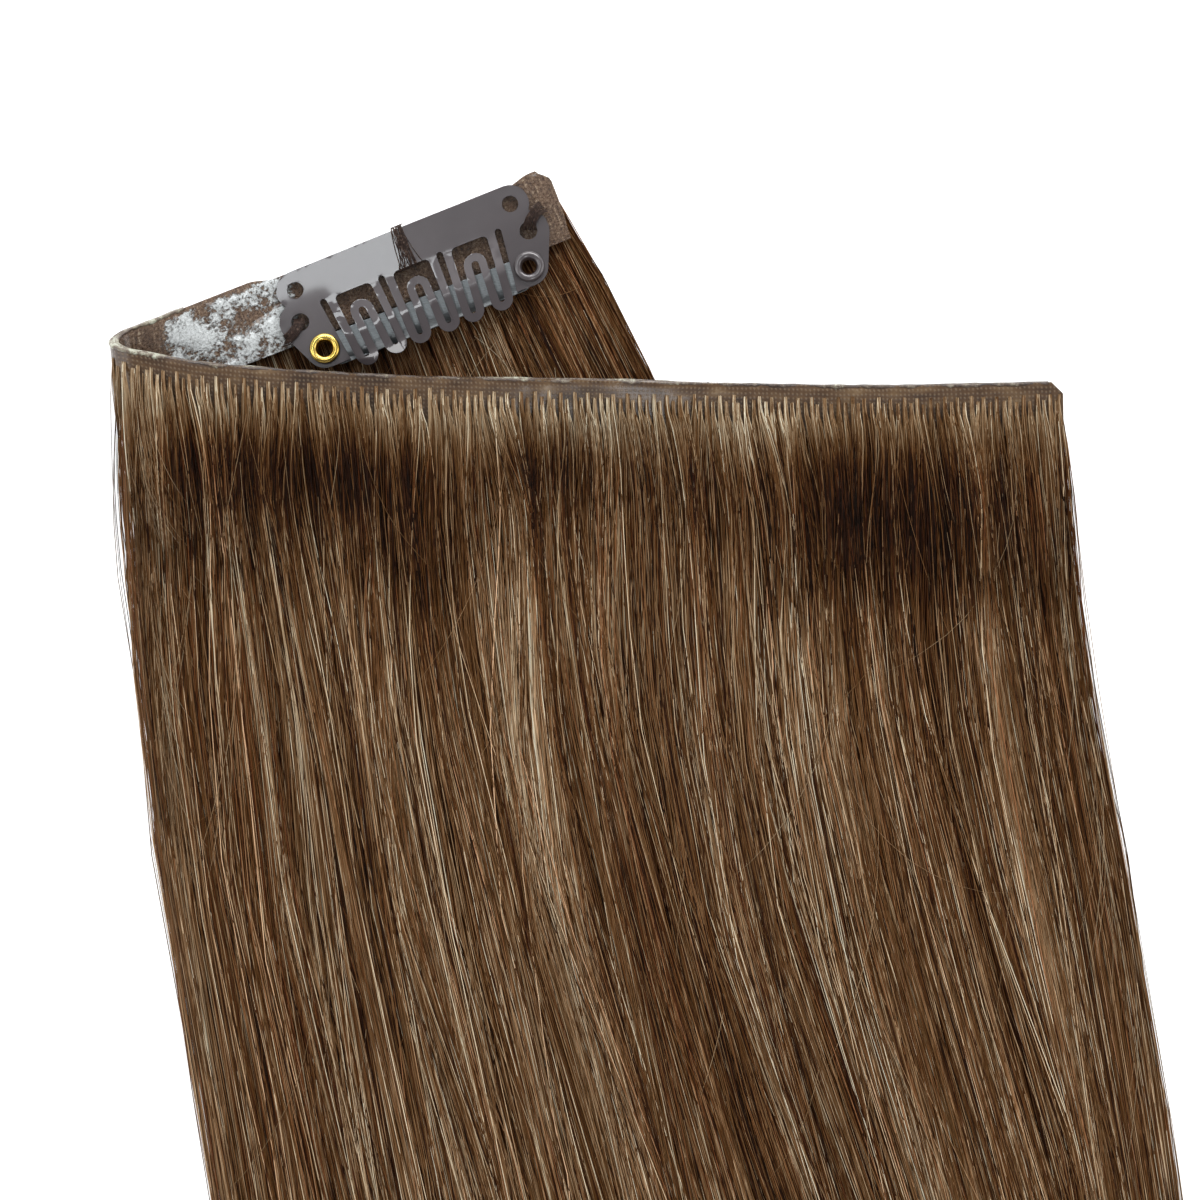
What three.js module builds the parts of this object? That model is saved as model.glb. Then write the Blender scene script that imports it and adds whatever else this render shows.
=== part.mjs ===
import * as THREE from 'three'

// Clip-in hair extension lying on a table at z = 0, in millimetres with +Z up.
// One injected band is folded once: its lower run lies with the clip side up,
// its upper run lies over the lower run's hair with the hair side up.
// Plan directions: the upper run goes along X, the hair hangs towards -Y.

// Band
const bandWidth = 8.5
const bandThickness = 1
const upperRun = 104
const lowerRun = 49.7
const lowerAngle = 21.3
const foldRise = 3.4
const foldTilt = 10
const endTilt = 8.5
const crownTilt = 24
const easeLength = 10
const cornerCut = 1.3

// Hair
const hairLength = 300
const rootLine = 1.9
const sideMargin = 0.4
const upperHairThickness = 2.6
const lowerHairThickness = 1.7
const pressedHair = 1.25
const rootHair = 0.9
const lockRelief = 0.7
const tipNotch = 46
const upperLocks = 15
const lowerLocks = 7
const lowerHairStart = 9
const lowerTurn = 16
const lowerFan = 9
const lowerTurnLength = 120
const dropLength = 10
const overlapRamp = 9
const swayDepth = 1.6
const swayPeriod = 34
const swayStart = 60
const fullBodyAt = 36

// Comb clip: a stamped plate with six teeth, a clamp bar and two eyelets
const plateThickness = 0.5
const plateReach = 13.1
const clipFromEnd = 18.3
const clipInset = 0.5
const clipTurn = 0.6
const clipTilt = 5
const sewHole = { upper: { x: 13, y: 2.15, r: 0.95 }, lower: { x: 13.8, y: 5.7, r: 1.03 } }
const lobe = { upper: 2.15, lower: 2.35, rivet: 2.15 }
const rivet = { x: 12.35, y: 9.5, r: 1.3 }
const earEnd = 10.05
const slotTop = 4.2
const slotWidth = 0.78
const slotLean = 0.112
const rootPitch = 7.05
const slotRoot = 1.5 * rootPitch - 0.03
const tipPitch = 6.35
const tipSpacing = 3.45
const tipRadius = 1.27
const legWidth = 0.95
const windowTop = 4.4
const windowHalf = 2.17
const windowCorner = 0.6
const archTop = 5.8
const archHalf = 1.32
const archSlot = 0.42
const toothArch = 0.9
const barTop = 8.1
const barBottom = 11.8
const barHalf = 11.1
const barThickness = 0.45
const barLip = 0.5
const barGap = 0.2
const eyeletHole = 0.9
const eyeletWall = 0.22
const eyeletFlange = 1.6
const eyeletLip = 0.32
const eyeletFoot = 0.15

// Clips hidden under the upper run: one by its right end, one by the fold
const endClipAt = 17
const middleClipFromFold = 18
const middleClipAt = upperRun - middleClipFromFold
const hiddenClipDepth = 1.8
const hiddenInset = 0.5

// Clearances between pieces that lie on each other
const restGap = 0.25
const clearance = 0.3

const radians = THREE.MathUtils.degToRad
const lerp = THREE.MathUtils.lerp
const clamp = THREE.MathUtils.clamp
const ease = (x) => THREE.MathUtils.smoothstep(x, 0, 1)
const turn = (degrees) => new THREE.Vector2(Math.cos(radians(degrees)), Math.sin(radians(degrees)))

// Value of one column of a table, eased between its rows
function column(rows, at, key) {
  const last = rows.length - 1
  if (at <= rows[0].at) return rows[0][key]
  if (at >= rows[last].at) return rows[last][key]
  const k = rows.findIndex((row) => row.at >= at)
  const [a, b] = [rows[k - 1], rows[k]]
  return lerp(a[key], b[key], ease((at - a.at) / (b.at - a.at)))
}

// Value of one column on a smooth curve through the rows
function curved(rows, at, key) {
  const last = rows.length - 1
  const k = clamp(rows.findIndex((row) => row.at >= at), 1, last)
  const [a, b] = [rows[k - 1], rows[k]]
  const before = rows[Math.max(k - 2, 0)]
  const after = rows[Math.min(k + 1, last)]
  const t = clamp((at - a.at) / (b.at - a.at), 0, 1)
  const span = b.at - a.at
  const slopeA = (b[key] - before[key]) / (b.at - before.at)
  const slopeB = (after[key] - a[key]) / (after.at - a.at)
  const [t2, t3] = [t * t, t * t * t]
  return (2 * t3 - 3 * t2 + 1) * a[key] + (t3 - 2 * t2 + t) * span * slopeA +
    (3 * t2 - 2 * t3) * b[key] + (t3 - t2) * span * slopeB
}

// Heights of the stack, from the table up
const lowerMid = pressedHair + clearance + bandThickness / 2
const lowerTop = lowerMid + bandThickness / 2
const clipBelowBand = bandThickness / 2 + restGap + hiddenClipDepth
const clipOverhang = plateReach + hiddenInset - bandWidth / 2
const heightOver = (support, tilt) =>
  support + clearance + clipBelowBand + clipOverhang * Math.sin(radians(tilt))
const endHeight = heightOver(0, endTilt)
const foldHeight = heightOver(lowerHairThickness, foldTilt)
const crownHeight = (endHeight + foldHeight) / 2

// Upper run from its right end (0) to the fold (1): sideways rise of the top edge
// as a share of foldRise, and height and tilt of the band
const upperRise = [
  { at: 0, rise: 0 },
  { at: 0.19, rise: -0.12 },
  { at: 0.48, rise: 0.02 },
  { at: 0.7, rise: 0.17 },
  { at: 0.84, rise: 0.39 },
  { at: 0.93, rise: 0.62 },
  { at: 1, rise: 1 }
]
const clipHalf = sewHole.lower.x + lobe.lower
const clipSpan = (clipHalf + 1.85) / upperRun
const upperLie = [
  { at: endClipAt / upperRun + clipSpan, height: endHeight, tilt: endTilt },
  { at: 0.5, height: crownHeight, tilt: crownTilt },
  { at: middleClipAt / upperRun - clipSpan, height: foldHeight, tilt: foldTilt }
]

const upperEdge = (along) =>
  new THREE.Vector2(-along, foldRise * curved(upperRise, along / upperRun, 'rise'))
const upperTilt = (along) => radians(column(upperLie, along / upperRun, 'tilt'))
const upperTopZ = (along) => column(upperLie, along / upperRun, 'height') +
  bandWidth / 2 * Math.sin(upperTilt(along))

// Angle in degrees by which the top edge climbs towards the fold
function upperClimb(along) {
  const step = 0.5
  const a = upperEdge(Math.max(along - step, 0))
  const b = upperEdge(Math.min(along + step, upperRun))
  return THREE.MathUtils.radToDeg(Math.atan2(b.y - a.y, a.x - b.x))
}

// The fold: the band turns round an oblique crease, like a folded ribbon
const foldSkew = (lowerAngle + upperClimb(upperRun)) / 2
const creaseAngle = lowerAngle + 90 - foldSkew
const foldTan = Math.tan(radians(foldSkew))
const foldSin = Math.sin(radians(foldTilt))
const foldCos = Math.cos(radians(foldTilt))
const foldRadius = (foldHeight - lowerMid) / (2 * foldCos - Math.PI * foldTan * foldSin)
const foldLength = Math.PI * foldRadius

const creasePlan = turn(creaseAngle)
const crease = new THREE.Vector3(creasePlan.x * foldCos, creasePlan.y * foldCos, foldSin)
const foldOut = new THREE.Vector3(...turn(creaseAngle + 90).toArray(), 0)
const foldUp = new THREE.Vector3(-creasePlan.x * foldSin, -creasePlan.y * foldSin, foldCos)
const foldStart = new THREE.Vector3(...upperEdge(upperRun).toArray(), upperTopZ(upperRun))

function foldEdge(angle) {
  return foldStart.clone()
    .addScaledVector(foldOut, foldRadius * Math.sin(angle))
    .addScaledVector(crease, foldRadius * angle * foldTan)
    .addScaledVector(foldUp, foldRadius * (Math.cos(angle) - 1))
}
const lowerStart = foldEdge(Math.PI)
const lowerAlong = turn(lowerAngle)

// A point of the band's middle surface. Along runs from the lower run's free end
// over the fold to the upper run's right end, across from the top edge down.
const bandLength = lowerRun + foldLength + upperRun
function bandSurface(along, across) {
  if (along < lowerRun) {
    const fromFold = lowerRun - along
    const left = 1 - ease(fromFold / easeLength)
    const tilt = radians(foldTilt) * left
    const down = turn(lowerAngle - 90 - foldSkew * left)
    const reach = across / Math.cos(radians(foldSkew * left))
    return new THREE.Vector3(
      lowerStart.x + lowerAlong.x * fromFold + down.x * reach * Math.cos(tilt),
      lowerStart.y + lowerAlong.y * fromFold + down.y * reach * Math.cos(tilt),
      lowerMid + (bandWidth / 2 - reach) * Math.sin(tilt)
    )
  }
  if (along < lowerRun + foldLength) {
    const angle = Math.PI - (along - lowerRun) / foldRadius
    return foldEdge(angle).addScaledVector(crease, -across / Math.cos(radians(foldSkew)))
  }
  const fromEnd = bandLength - along
  const skew = foldSkew * ease(1 - (upperRun - fromEnd) / easeLength)
  const tilt = upperTilt(fromEnd)
  const down = turn(-90 - upperClimb(fromEnd) + skew)
  const reach = across / Math.cos(radians(skew))
  const edge = upperEdge(fromEnd)
  return new THREE.Vector3(
    edge.x + down.x * reach * Math.cos(tilt),
    edge.y + down.y * reach * Math.cos(tilt),
    upperTopZ(fromEnd) - reach * Math.sin(tilt)
  )
}

// Tangent, upward width direction and outer normal of the band at a point
function bandAxes(along, across) {
  const step = 0.2
  const from = bandSurface(Math.max(along - step, 0), across)
  const to = bandSurface(Math.min(along + step, bandLength), across)
  const tangent = to.sub(from).normalize()
  const widthwise = bandSurface(along, across).sub(bandSurface(along, across + 1)).normalize()
  const normal = tangent.clone().cross(widthwise).normalize()
  return { tangent, widthwise: normal.clone().cross(tangent), normal }
}

// Moves every vertex of a geometry by a function of its own place
function shaped(geometry, move) {
  const place = geometry.attributes.position
  const p = new THREE.Vector3()
  for (let i = 0; i < place.count; i++) {
    const q = move(p.fromBufferAttribute(place, i).clone())
    place.setXYZ(i, q.x, q.y, q.z)
  }
  geometry.computeVertexNormals()
  return geometry
}

// A unit box from (0, 0, 0) to (1, 1, 1), divided for shaping
function unitBox(lengthwise, crosswise, layers = 1) {
  return new THREE.BoxGeometry(1, 1, 1, lengthwise, crosswise, layers).translate(0.5, 0.5, 0.5)
}

// Band: the stations crowd together round the fold
const lowerSteps = 12
const foldSteps = 10
const upperSteps = 26
function bandStation(share) {
  const i = Math.round(share * (lowerSteps + foldSteps + upperSteps))
  if (i <= lowerSteps) return lowerRun * i / lowerSteps
  if (i <= lowerSteps + foldSteps) return lowerRun + foldLength * (i - lowerSteps) / foldSteps
  const k = (i - lowerSteps - foldSteps) / upperSteps
  return lowerRun + foldLength + upperRun * k
}

function bandGeometry() {
  const steps = lowerSteps + foldSteps + upperSteps
  return shaped(unitBox(steps, 2), (p) => {
    const across = p.y > 0.9 ? 0 : p.y > 0.1 ? cornerCut : bandWidth
    const corner = Math.max(cornerCut - across, 0)
    const along = Math.min(bandStation(p.x), bandLength - corner)
    const lift = (p.z - 0.5) * bandThickness
    return bandSurface(along, across).addScaledVector(bandAxes(along, across).normal, lift)
  })
}

// Hair of the lower run: it leaves square to the band, fans out at the free end and
// turns to lie under the upper hair
const lowerHairSpan = lowerRun - lowerHairStart - sideMargin
const lowerHairEnd = hairLength - rootLine
function lowerFlow(fromFreeEnd, distance) {
  const root = bandSurface(fromFreeEnd, rootLine)
  const fan = lowerFan * (1 - ease(fromFreeEnd / (0.6 * lowerRun)))
  const start = radians(lowerAngle - 90 + fan)
  const bend = -radians(lowerTurn + fan) / lowerTurnLength
  const curved = Math.min(distance, lowerTurnLength)
  const straight = Math.max(distance - lowerTurnLength, 0)
  const end = start + bend * curved
  return new THREE.Vector2(
    root.x + (Math.sin(end) - Math.sin(start)) / bend + Math.cos(end) * straight,
    root.y - (Math.cos(end) - Math.cos(start)) / bend + Math.sin(end) * straight
  )
}

// Relief of locks side by side: 1 on each crest, 0 in each valley
const lockCrest = (share, locks) => 0.5 - 0.5 * Math.cos(2 * Math.PI * share * locks)
const lockVary = (lock) => 0.5 + 0.5 * Math.sin(lock * 2.4 + 0.7)

// Place across of a column, so that the locks differ in width
const uneven = (share) => share + 0.013 * Math.sin(share * 23) * Math.sin(Math.PI * share)

// Length of the hair at one place across: pointed locks with notches between them
function tipLength(share, locks, full) {
  const lock = Math.floor(clamp(share, 0, 0.9999) * locks)
  const crest = lockCrest(share, locks)
  const valley = crest < 0.01
  return full - tipNotch * (valley ? 1.2 : 1 - crest + 0.45 * lockVary(lock))
}

const rowsDown = (share, power) => Math.pow(share, power)

function lowerHairGeometry() {
  return shaped(unitBox(lowerLocks * 4, 16), (p) => {
    const share = 1 - p.x
    const full = tipLength(share, lowerLocks, lowerHairEnd)
    const distance = full * rowsDown(1 - p.y, 1.5)
    const plan = lowerFlow(sideMargin + lowerHairSpan * uneven(share), distance)
    const free = ease((distance - bandWidth) / dropLength)
    const edge = 0.55 + 0.45 * ease(Math.min(p.x, 1 - p.x) * 8)
    const tip = 1 - 0.5 * ease((distance / full - 0.75) / 0.25)
    const crest = lockCrest(share, lowerLocks) - 1
    const loose = (lowerHairThickness + 0.5 * lockRelief * crest) * edge * tip
    return new THREE.Vector3(plan.x, plan.y, p.z * lerp(pressedHair, loose, free))
  })
}

// Hair of the upper run: sideways drift and width on the way down, as shares of
// the hair's length and of the run
const upperFall = [
  { at: 0, drift: 0, spread: 1 },
  { at: 0.1, drift: 0.0087, spread: 1.013 },
  { at: 0.2, drift: 0.0235, spread: 1.035 },
  { at: 0.31, drift: 0.0413, spread: 1.03 },
  { at: 0.5, drift: 0.068, spread: 1.02 },
  { at: 0.75, drift: 0.09, spread: 0.97 },
  { at: 1, drift: 0.095, spread: 0.86 }
]
const upperHairSpan = upperRun + 0.6 * foldRadius - sideMargin

// Edges of the lower hair in plan, as x at a given y
const edgeSteps = 40
function lowerHairSide(fromFreeEnd) {
  const points = []
  for (let i = 0; i <= edgeSteps; i++) {
    points.push(lowerFlow(fromFreeEnd, lowerHairEnd * i / edgeSteps))
  }
  return (y) => {
    const below = points.findIndex((point) => point.y < y)
    const k = below < 0 ? edgeSteps : Math.max(below, 1)
    const [a, b] = [points[k - 1], points[k]]
    return lerp(a.x, b.x, clamp((a.y - y) / (a.y - b.y), 0, 1))
  }
}
const rightSide = lowerHairSide(sideMargin)
const leftSide = lowerHairSide(lowerRun - lowerHairStart)
const lowerHairTipY = lowerFlow(lowerRun - lowerHairStart, lowerHairEnd).y

// Height of what the upper hair lies on: the lower hair or the table
function ground(x, y) {
  const right = ease((rightSide(y) + overlapRamp - x) / (overlapRamp - 1))
  const left = ease((x - leftSide(y) + overlapRamp) / (overlapRamp - 1))
  const above = ease((y - lowerHairTipY + 3 * overlapRamp) / (2 * overlapRamp))
  return (lowerHairThickness + clearance) * right * left * above
}

// How far down the hair is held up: past the hidden clips' teeth, else past the band
function heldTo(along) {
  const near = (centre) => ease((clipHalf + 4.85 - Math.abs(along - centre)) / 5)
  const overClip = Math.max(near(endClipAt), near(middleClipAt))
  return lerp(bandWidth + 1, plateReach + hiddenInset + 0.7, overClip)
}

function upperHairPlace(share, distance, lift, full) {
  const fromEnd = sideMargin + upperHairSpan * (1 - uneven(share))
  const along = clamp(fromEnd, 0, upperRun)
  const beyond = fromEnd - along
  const tilt = upperTilt(along)
  const edge = upperEdge(along)
  const rootX = edge.x - beyond
  const rootY = edge.y - rootLine * Math.cos(tilt)
  const at = distance / hairLength
  const middle = -upperRun / 2
  const wave = Math.sin(distance / swayPeriod + share * 5)
  const sway = swayDepth * wave * ease(distance / swayStart) * Math.sin(Math.PI * share)
  const x = middle + (rootX - middle) * curved(upperFall, at, 'spread') +
    hairLength * curved(upperFall, at, 'drift') + sway
  const y = rootY - distance
  const across = distance + rootLine * Math.cos(tilt)
  const onBand = upperTopZ(along) - across * Math.tan(tilt) +
    bandThickness / 2 / Math.cos(tilt) + clearance
  const drop = ease((across - heldTo(along)) / dropLength)
  const bottom = lerp(onBand, ground(x, y), drop)
  const vary = lockVary(Math.floor(share * upperLocks))
  const crest = lockCrest(share, upperLocks) * (0.6 + 0.4 * vary)
  const tip = 1 - 0.6 * ease((distance / full - 0.72) / 0.28)
  const side = 0.45 + 0.55 * ease(Math.min(share, 1 - share) * 12)
  const body = (upperHairThickness - lockRelief * (1 - crest)) * tip * side
  const thickness = lerp(rootHair, body, ease(distance / fullBodyAt))
  return new THREE.Vector3(x, y, bottom + lift * thickness)
}

function upperHairGeometry() {
  return shaped(unitBox(upperLocks * 4, 20), (p) => {
    const full = tipLength(p.x, upperLocks, hairLength)
    return upperHairPlace(p.x, full * rowsDown(1 - p.y, 1.6), p.z, full)
  })
}

// Points of an arc, from one angle to another in degrees, y counted downwards
function arc(x, y, radius, from, to, steps) {
  const points = []
  for (let i = 0; i <= steps; i++) {
    const direction = turn(lerp(from, to, i / steps))
    points.push([x + radius * direction.x, y + radius * direction.y])
  }
  return points
}

// Points of a straight line between two places, without its ends
function between(a, b, steps) {
  const points = []
  for (let i = 1; i < steps; i++) {
    points.push([lerp(a[0], b[0], i / steps), lerp(a[1], b[1], i / steps)])
  }
  return points
}

// Joins stretches of points, with extra points on the legs between them
function joined(stretches, steps) {
  const points = []
  for (const stretch of stretches) {
    if (points.length) points.push(...between(points[points.length - 1], stretch[0], steps))
    points.push(...stretch)
  }
  return points
}

// One ear: lobes round the two sewing holes and the rivet, joined by a straight side
function leftEar() {
  const { upper, lower } = sewHole
  const [c1, c2] = [new THREE.Vector2(-upper.x, upper.y), new THREE.Vector2(-lower.x, lower.y)]
  const apart = c1.distanceTo(c2)
  const heading = THREE.MathUtils.radToDeg(Math.atan2(c2.y - c1.y, c2.x - c1.x))
  const cosine = (r, other) => clamp((r * r - other * other + apart * apart) / (2 * r * apart), -1, 1)
  const notch1 = heading + THREE.MathUtils.radToDeg(Math.acos(cosine(lobe.upper, lobe.lower)))
  const notch2 = heading + 180 - THREE.MathUtils.radToDeg(Math.acos(cosine(lobe.lower, lobe.upper)))
  const c3 = new THREE.Vector2(-rivet.x, rivet.y)
  const run = THREE.MathUtils.radToDeg(Math.atan2(c3.y - c2.y, c3.x - c2.x))
  const lean = THREE.MathUtils.radToDeg(Math.acos((lobe.lower - lobe.rivet) / c2.distanceTo(c3)))
  const side = run + lean
  return [
    ...arc(c1.x, c1.y, lobe.upper, 270, notch1, 8),
    ...arc(c2.x, c2.y, lobe.lower, notch2, side, 5).slice(1),
    ...arc(c3.x, c3.y, lobe.rivet, side, 90, 5),
    [-earEnd, rivet.y + lobe.rivet]
  ]
}
const mirrored = (points) => points.map(([x, y]) => [-x, y]).reverse()

// The tooth groups lean together towards the tips
const groupCentre = (group, y) =>
  group * lerp(rootPitch, tipPitch, (y - slotTop) / (plateReach - slotTop))
const inGroup = (group, points) => points.map(([x, y]) => [x + groupCentre(group, y), y])
const tipY = plateReach - tipRadius
const groups = [-1, 0, 1]

// Outer outline of the comb: ears, slots open at the bottom, and six round tips
function combOutline() {
  const slot = slotWidth / 2
  const slotArc = (x) => arc(x, slotTop + slot, slot, 180, 360, 4)
  const archY = archTop + archHalf
  const tip = (x) => arc(x, tipY, tipRadius, 180, 0, 8)
  const stretches = [leftEar(), slotArc(-slotRoot)]
  for (const group of groups) {
    stretches.push(inGroup(group, tip(-tipSpacing / 2)))
    stretches.push(inGroup(group, arc(0, archY, archSlot, 180, 360, 4)))
    stretches.push(inGroup(group, tip(tipSpacing / 2)))
    stretches.push(slotArc((group + 0.5) * rootPitch))
  }
  stretches.push(mirrored(leftEar()))
  return joined(stretches, 4)
}

// One window with the arch standing in it, and the slots inside its two tips
function windowHole(group) {
  const inner = tipRadius - legWidth
  const archY = archTop + archHalf
  const corner = (x, from) => arc(x, windowTop + windowCorner, windowCorner, from, from + 90, 3)
  const stretches = [
    corner(windowHalf - windowCorner, 270),
    arc(tipSpacing / 2, tipY, inner, 0, 180, 5),
    arc(0, archY, archHalf, 360, 180, 8),
    arc(-tipSpacing / 2, tipY, inner, 0, 180, 5),
    corner(-windowHalf + windowCorner, 180)
  ]
  return inGroup(group, joined(stretches, 4))
}

const flipped = (points) => points.map(([x, y]) => new THREE.Vector2(x, -y))
const roundHole = ({ x, y, r }, side, steps) =>
  new THREE.Path(flipped(arc(side * x, y, r, 0, 360 - 360 / steps, steps - 1)))

// Height of the plate's middle: the teeth arch over the clamp bar and dip at the tips, and
// the ears outside the two outer slots stay flat
function toothHeight(x, y) {
  const slotMiddle = slotRoot - slotLean * (y - slotTop - slotWidth / 2)
  const onTeeth = 1 - ease((Math.abs(x) - slotMiddle + 0.15) / 0.3)
  const share = clamp((y - slotTop) / (plateReach + 1 - slotTop), 0, 1)
  return toothArch * Math.sin(Math.PI * share) * onTeeth
}

function plateGeometry() {
  const shape = new THREE.Shape(flipped(combOutline()))
  for (const group of groups) shape.holes.push(new THREE.Path(flipped(windowHole(group))))
  for (const side of [-1, 1]) {
    shape.holes.push(roundHole(sewHole.upper, side, 12))
    shape.holes.push(roundHole(sewHole.lower, side, 12))
    shape.holes.push(roundHole(rivet, side, 14))
  }
  const plate = new THREE.ExtrudeGeometry(shape, { depth: plateThickness, bevelEnabled: false })
  return shaped(plate, (p) => p.setZ(p.z + toothHeight(p.x, -p.y)))
}

// Clamp bar under the teeth, riveted under both ears, with its lower lip bent down
function barGeometry() {
  const end = [
    [-barHalf, barTop],
    ...arc(-rivet.x, rivet.y, lobe.rivet - 0.35, 235, 125, 6),
    [-barHalf, barBottom]
  ]
  const lower = joined([[[-barHalf, barBottom]], [[barHalf, barBottom]]], 6).slice(1, -1)
  const shape = new THREE.Shape(flipped([...end, ...lower, ...mirrored(end)]))
  for (const side of [-1, 1]) shape.holes.push(roundHole(rivet, side, 14))
  const depth = barThickness
  const bar = new THREE.ExtrudeGeometry(shape, { depth, bevelEnabled: false })
  const onLip = (p) => -p.y > barBottom - 0.1 && Math.abs(p.x) < barHalf - 0.1
  const drop = (p) => barGap + barThickness + (onLip(p) ? barLip : 0)
  return shaped(bar, (p) => p.setZ(p.z - drop(p)))
}

// Eyelet: a drawn tube with a rolled flange above the ear and a small one below the bar
function eyeletGeometry() {
  const outer = eyeletHole + eyeletWall
  const seat = plateThickness + 0.1
  const crown = seat + eyeletLip
  const foot = -barGap - barThickness - 0.1
  const heel = foot - eyeletFoot
  const profile = [
    [eyeletHole, heel],
    [outer + eyeletFoot, heel],
    [outer + eyeletFoot, foot],
    [outer, foot],
    [outer, seat],
    [eyeletFlange - 0.12, seat],
    [eyeletFlange, seat + eyeletLip * 0.45],
    [eyeletFlange - 0.2, crown],
    [eyeletHole + 0.2, crown],
    [eyeletHole, crown - eyeletLip * 0.5],
    [eyeletHole, heel]
  ]
  const ring = new THREE.LatheGeometry(profile.map(([r, z]) => new THREE.Vector2(r, z)), 18)
  return ring.rotateX(Math.PI / 2)
}

// A hidden clip: the comb as one plain piece, without windows
function hiddenClipGeometry() {
  const teeth = groups.flatMap((group) => [-1, 1].flatMap((side) =>
    inGroup(group, arc(side * tipSpacing / 2, tipY, tipRadius, 180, 0, 5))))
  const outline = [...leftEar(), ...teeth, ...mirrored(leftEar())]
  const shape = new THREE.Shape(flipped(outline))
  const depth = hiddenClipDepth
  return new THREE.ExtrudeGeometry(shape, { depth, bevelEnabled: false })
}

// Frame of a hidden clip against the inner face of the upper run
function hiddenClipPlace(fromEnd) {
  const along = bandLength - fromEnd
  const { tangent, widthwise, normal } = bandAxes(along, hiddenInset)
  const depth = bandThickness / 2 + restGap + hiddenClipDepth
  const corner = bandSurface(along, hiddenInset).addScaledVector(normal, -depth)
  return new THREE.Matrix4().makeBasis(tangent, widthwise, normal).setPosition(corner)
}

function finish(color, roughness, metalness = 0) {
  return new THREE.MeshStandardMaterial({ color, roughness, metalness })
}

function piece(name, geometry, material) {
  const mesh = new THREE.Mesh(geometry, material)
  mesh.name = name
  return mesh
}

// The clip in view, standing on the inner face of the lower run
function combClip() {
  const clip = new THREE.Group()
  const paint = finish('#7c767a', 0.35, 0.5)
  clip.add(piece('comb_plate', plateGeometry(), paint))
  clip.add(piece('clamp_bar', barGeometry(), finish('#8f979c', 0.3, 0.6)))
  const eyelets = [
    { name: 'eyelet_left', side: -1, material: finish('#cfae3c', 0.25, 1) },
    { name: 'eyelet_right', side: 1, material: paint }
  ]
  for (const { name, side, material } of eyelets) {
    const eyelet = piece(name, eyeletGeometry(), material)
    eyelet.position.set(side * rivet.x, -rivet.y, 0)
    clip.add(eyelet)
  }
  const centre = bandSurface(clipFromEnd, clipInset)
  clip.position.set(centre.x, centre.y, lowerTop + restGap)
  clip.rotation.order = 'ZYX'
  clip.rotation.set(-radians(clipTilt), 0, radians(lowerAngle + clipTurn))
  return clip
}

const hairBrown = finish('#6b4e36', 0.55)
const bandBrown = finish('#4f392b', 0.4)
const hiddenPaint = finish('#6d676b', 0.4, 0.5)

const model = new THREE.Group()
model.add(piece('band', bandGeometry(), bandBrown))
model.add(piece('hair_front', upperHairGeometry(), hairBrown))
model.add(piece('hair_back', lowerHairGeometry(), hairBrown))
model.add(combClip())

function hiddenClip(name, fromEnd) {
  const clip = piece(name, hiddenClipGeometry(), hiddenPaint)
  clip.applyMatrix4(hiddenClipPlace(fromEnd))
  return clip
}
model.add(hiddenClip('hidden_clip_end', endClipAt))
model.add(hiddenClip('hidden_clip_middle', middleClipAt))

// The origin is the middle of the whole part's footprint, on the table
model.updateMatrixWorld(true)
const reach = new THREE.Box3().setFromObject(model, true)
const middle = reach.getCenter(new THREE.Vector3())
model.position.set(-middle.x, -middle.y, -reach.min.z)
const extension = new THREE.Group()
extension.add(model)
export default extension
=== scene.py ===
import math
import random

import bmesh
import bpy
from mathutils import Matrix, Vector, noise
from mathutils.bvhtree import BVHTree


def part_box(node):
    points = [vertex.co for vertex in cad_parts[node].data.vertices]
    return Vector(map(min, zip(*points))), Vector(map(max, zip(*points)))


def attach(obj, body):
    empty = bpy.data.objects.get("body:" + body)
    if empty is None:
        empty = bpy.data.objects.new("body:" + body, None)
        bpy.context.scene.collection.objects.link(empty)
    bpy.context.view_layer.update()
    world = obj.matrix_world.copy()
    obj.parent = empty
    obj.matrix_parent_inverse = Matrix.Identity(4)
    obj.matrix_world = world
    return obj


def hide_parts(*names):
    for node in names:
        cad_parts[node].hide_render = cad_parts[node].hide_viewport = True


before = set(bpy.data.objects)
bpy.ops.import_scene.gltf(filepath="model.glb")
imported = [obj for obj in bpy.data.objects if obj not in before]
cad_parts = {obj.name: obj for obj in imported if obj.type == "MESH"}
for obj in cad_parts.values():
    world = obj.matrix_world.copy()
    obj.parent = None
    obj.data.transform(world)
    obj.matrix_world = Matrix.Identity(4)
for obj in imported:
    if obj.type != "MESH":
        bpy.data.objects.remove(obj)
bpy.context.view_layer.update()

MM = 0.001
band_low, band_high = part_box("band")
scene = bpy.context.scene

# Camera: straight above the table, on a frame 134.6 mm square
PIXEL = 0.1122 * MM
LENS = 250
SENSOR = 36
SUBJECT_HEIGHT = 4 * MM
BAND_END_PIXEL = 1064
BAND_TOP_PIXEL = 166

eye = bpy.data.objects.new("camera", bpy.data.cameras.new("camera"))
scene.collection.objects.link(eye)
eye.data.lens = LENS
eye.data.sensor_width = SENSOR
eye.data.clip_start = 0.05
eye.location = (
    band_high.x - (BAND_END_PIXEL - 600) * PIXEL,
    band_high.y - (600 - BAND_TOP_PIXEL) * PIXEL,
    SUBJECT_HEIGHT + 1200 * PIXEL * LENS / SENSOR,
)
scene.camera = eye
scene.view_settings.view_transform = "Standard"
# Hair is dark, so light past its second bounce hardly shows; split boxes suit long thin hairs
scene.cycles.max_bounces = 2
scene.cycles.debug_use_spatial_splits = True


def srgb(code):
    """A colour given as sRGB hex, in linear light."""
    parts = [int(code[i:i + 2], 16) / 255 for i in (1, 3, 5)]
    linear = [c / 12.92 if c <= 0.04045 else ((c + 0.055) / 1.055) ** 2.4 for c in parts]
    return (*linear, 1)


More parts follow.
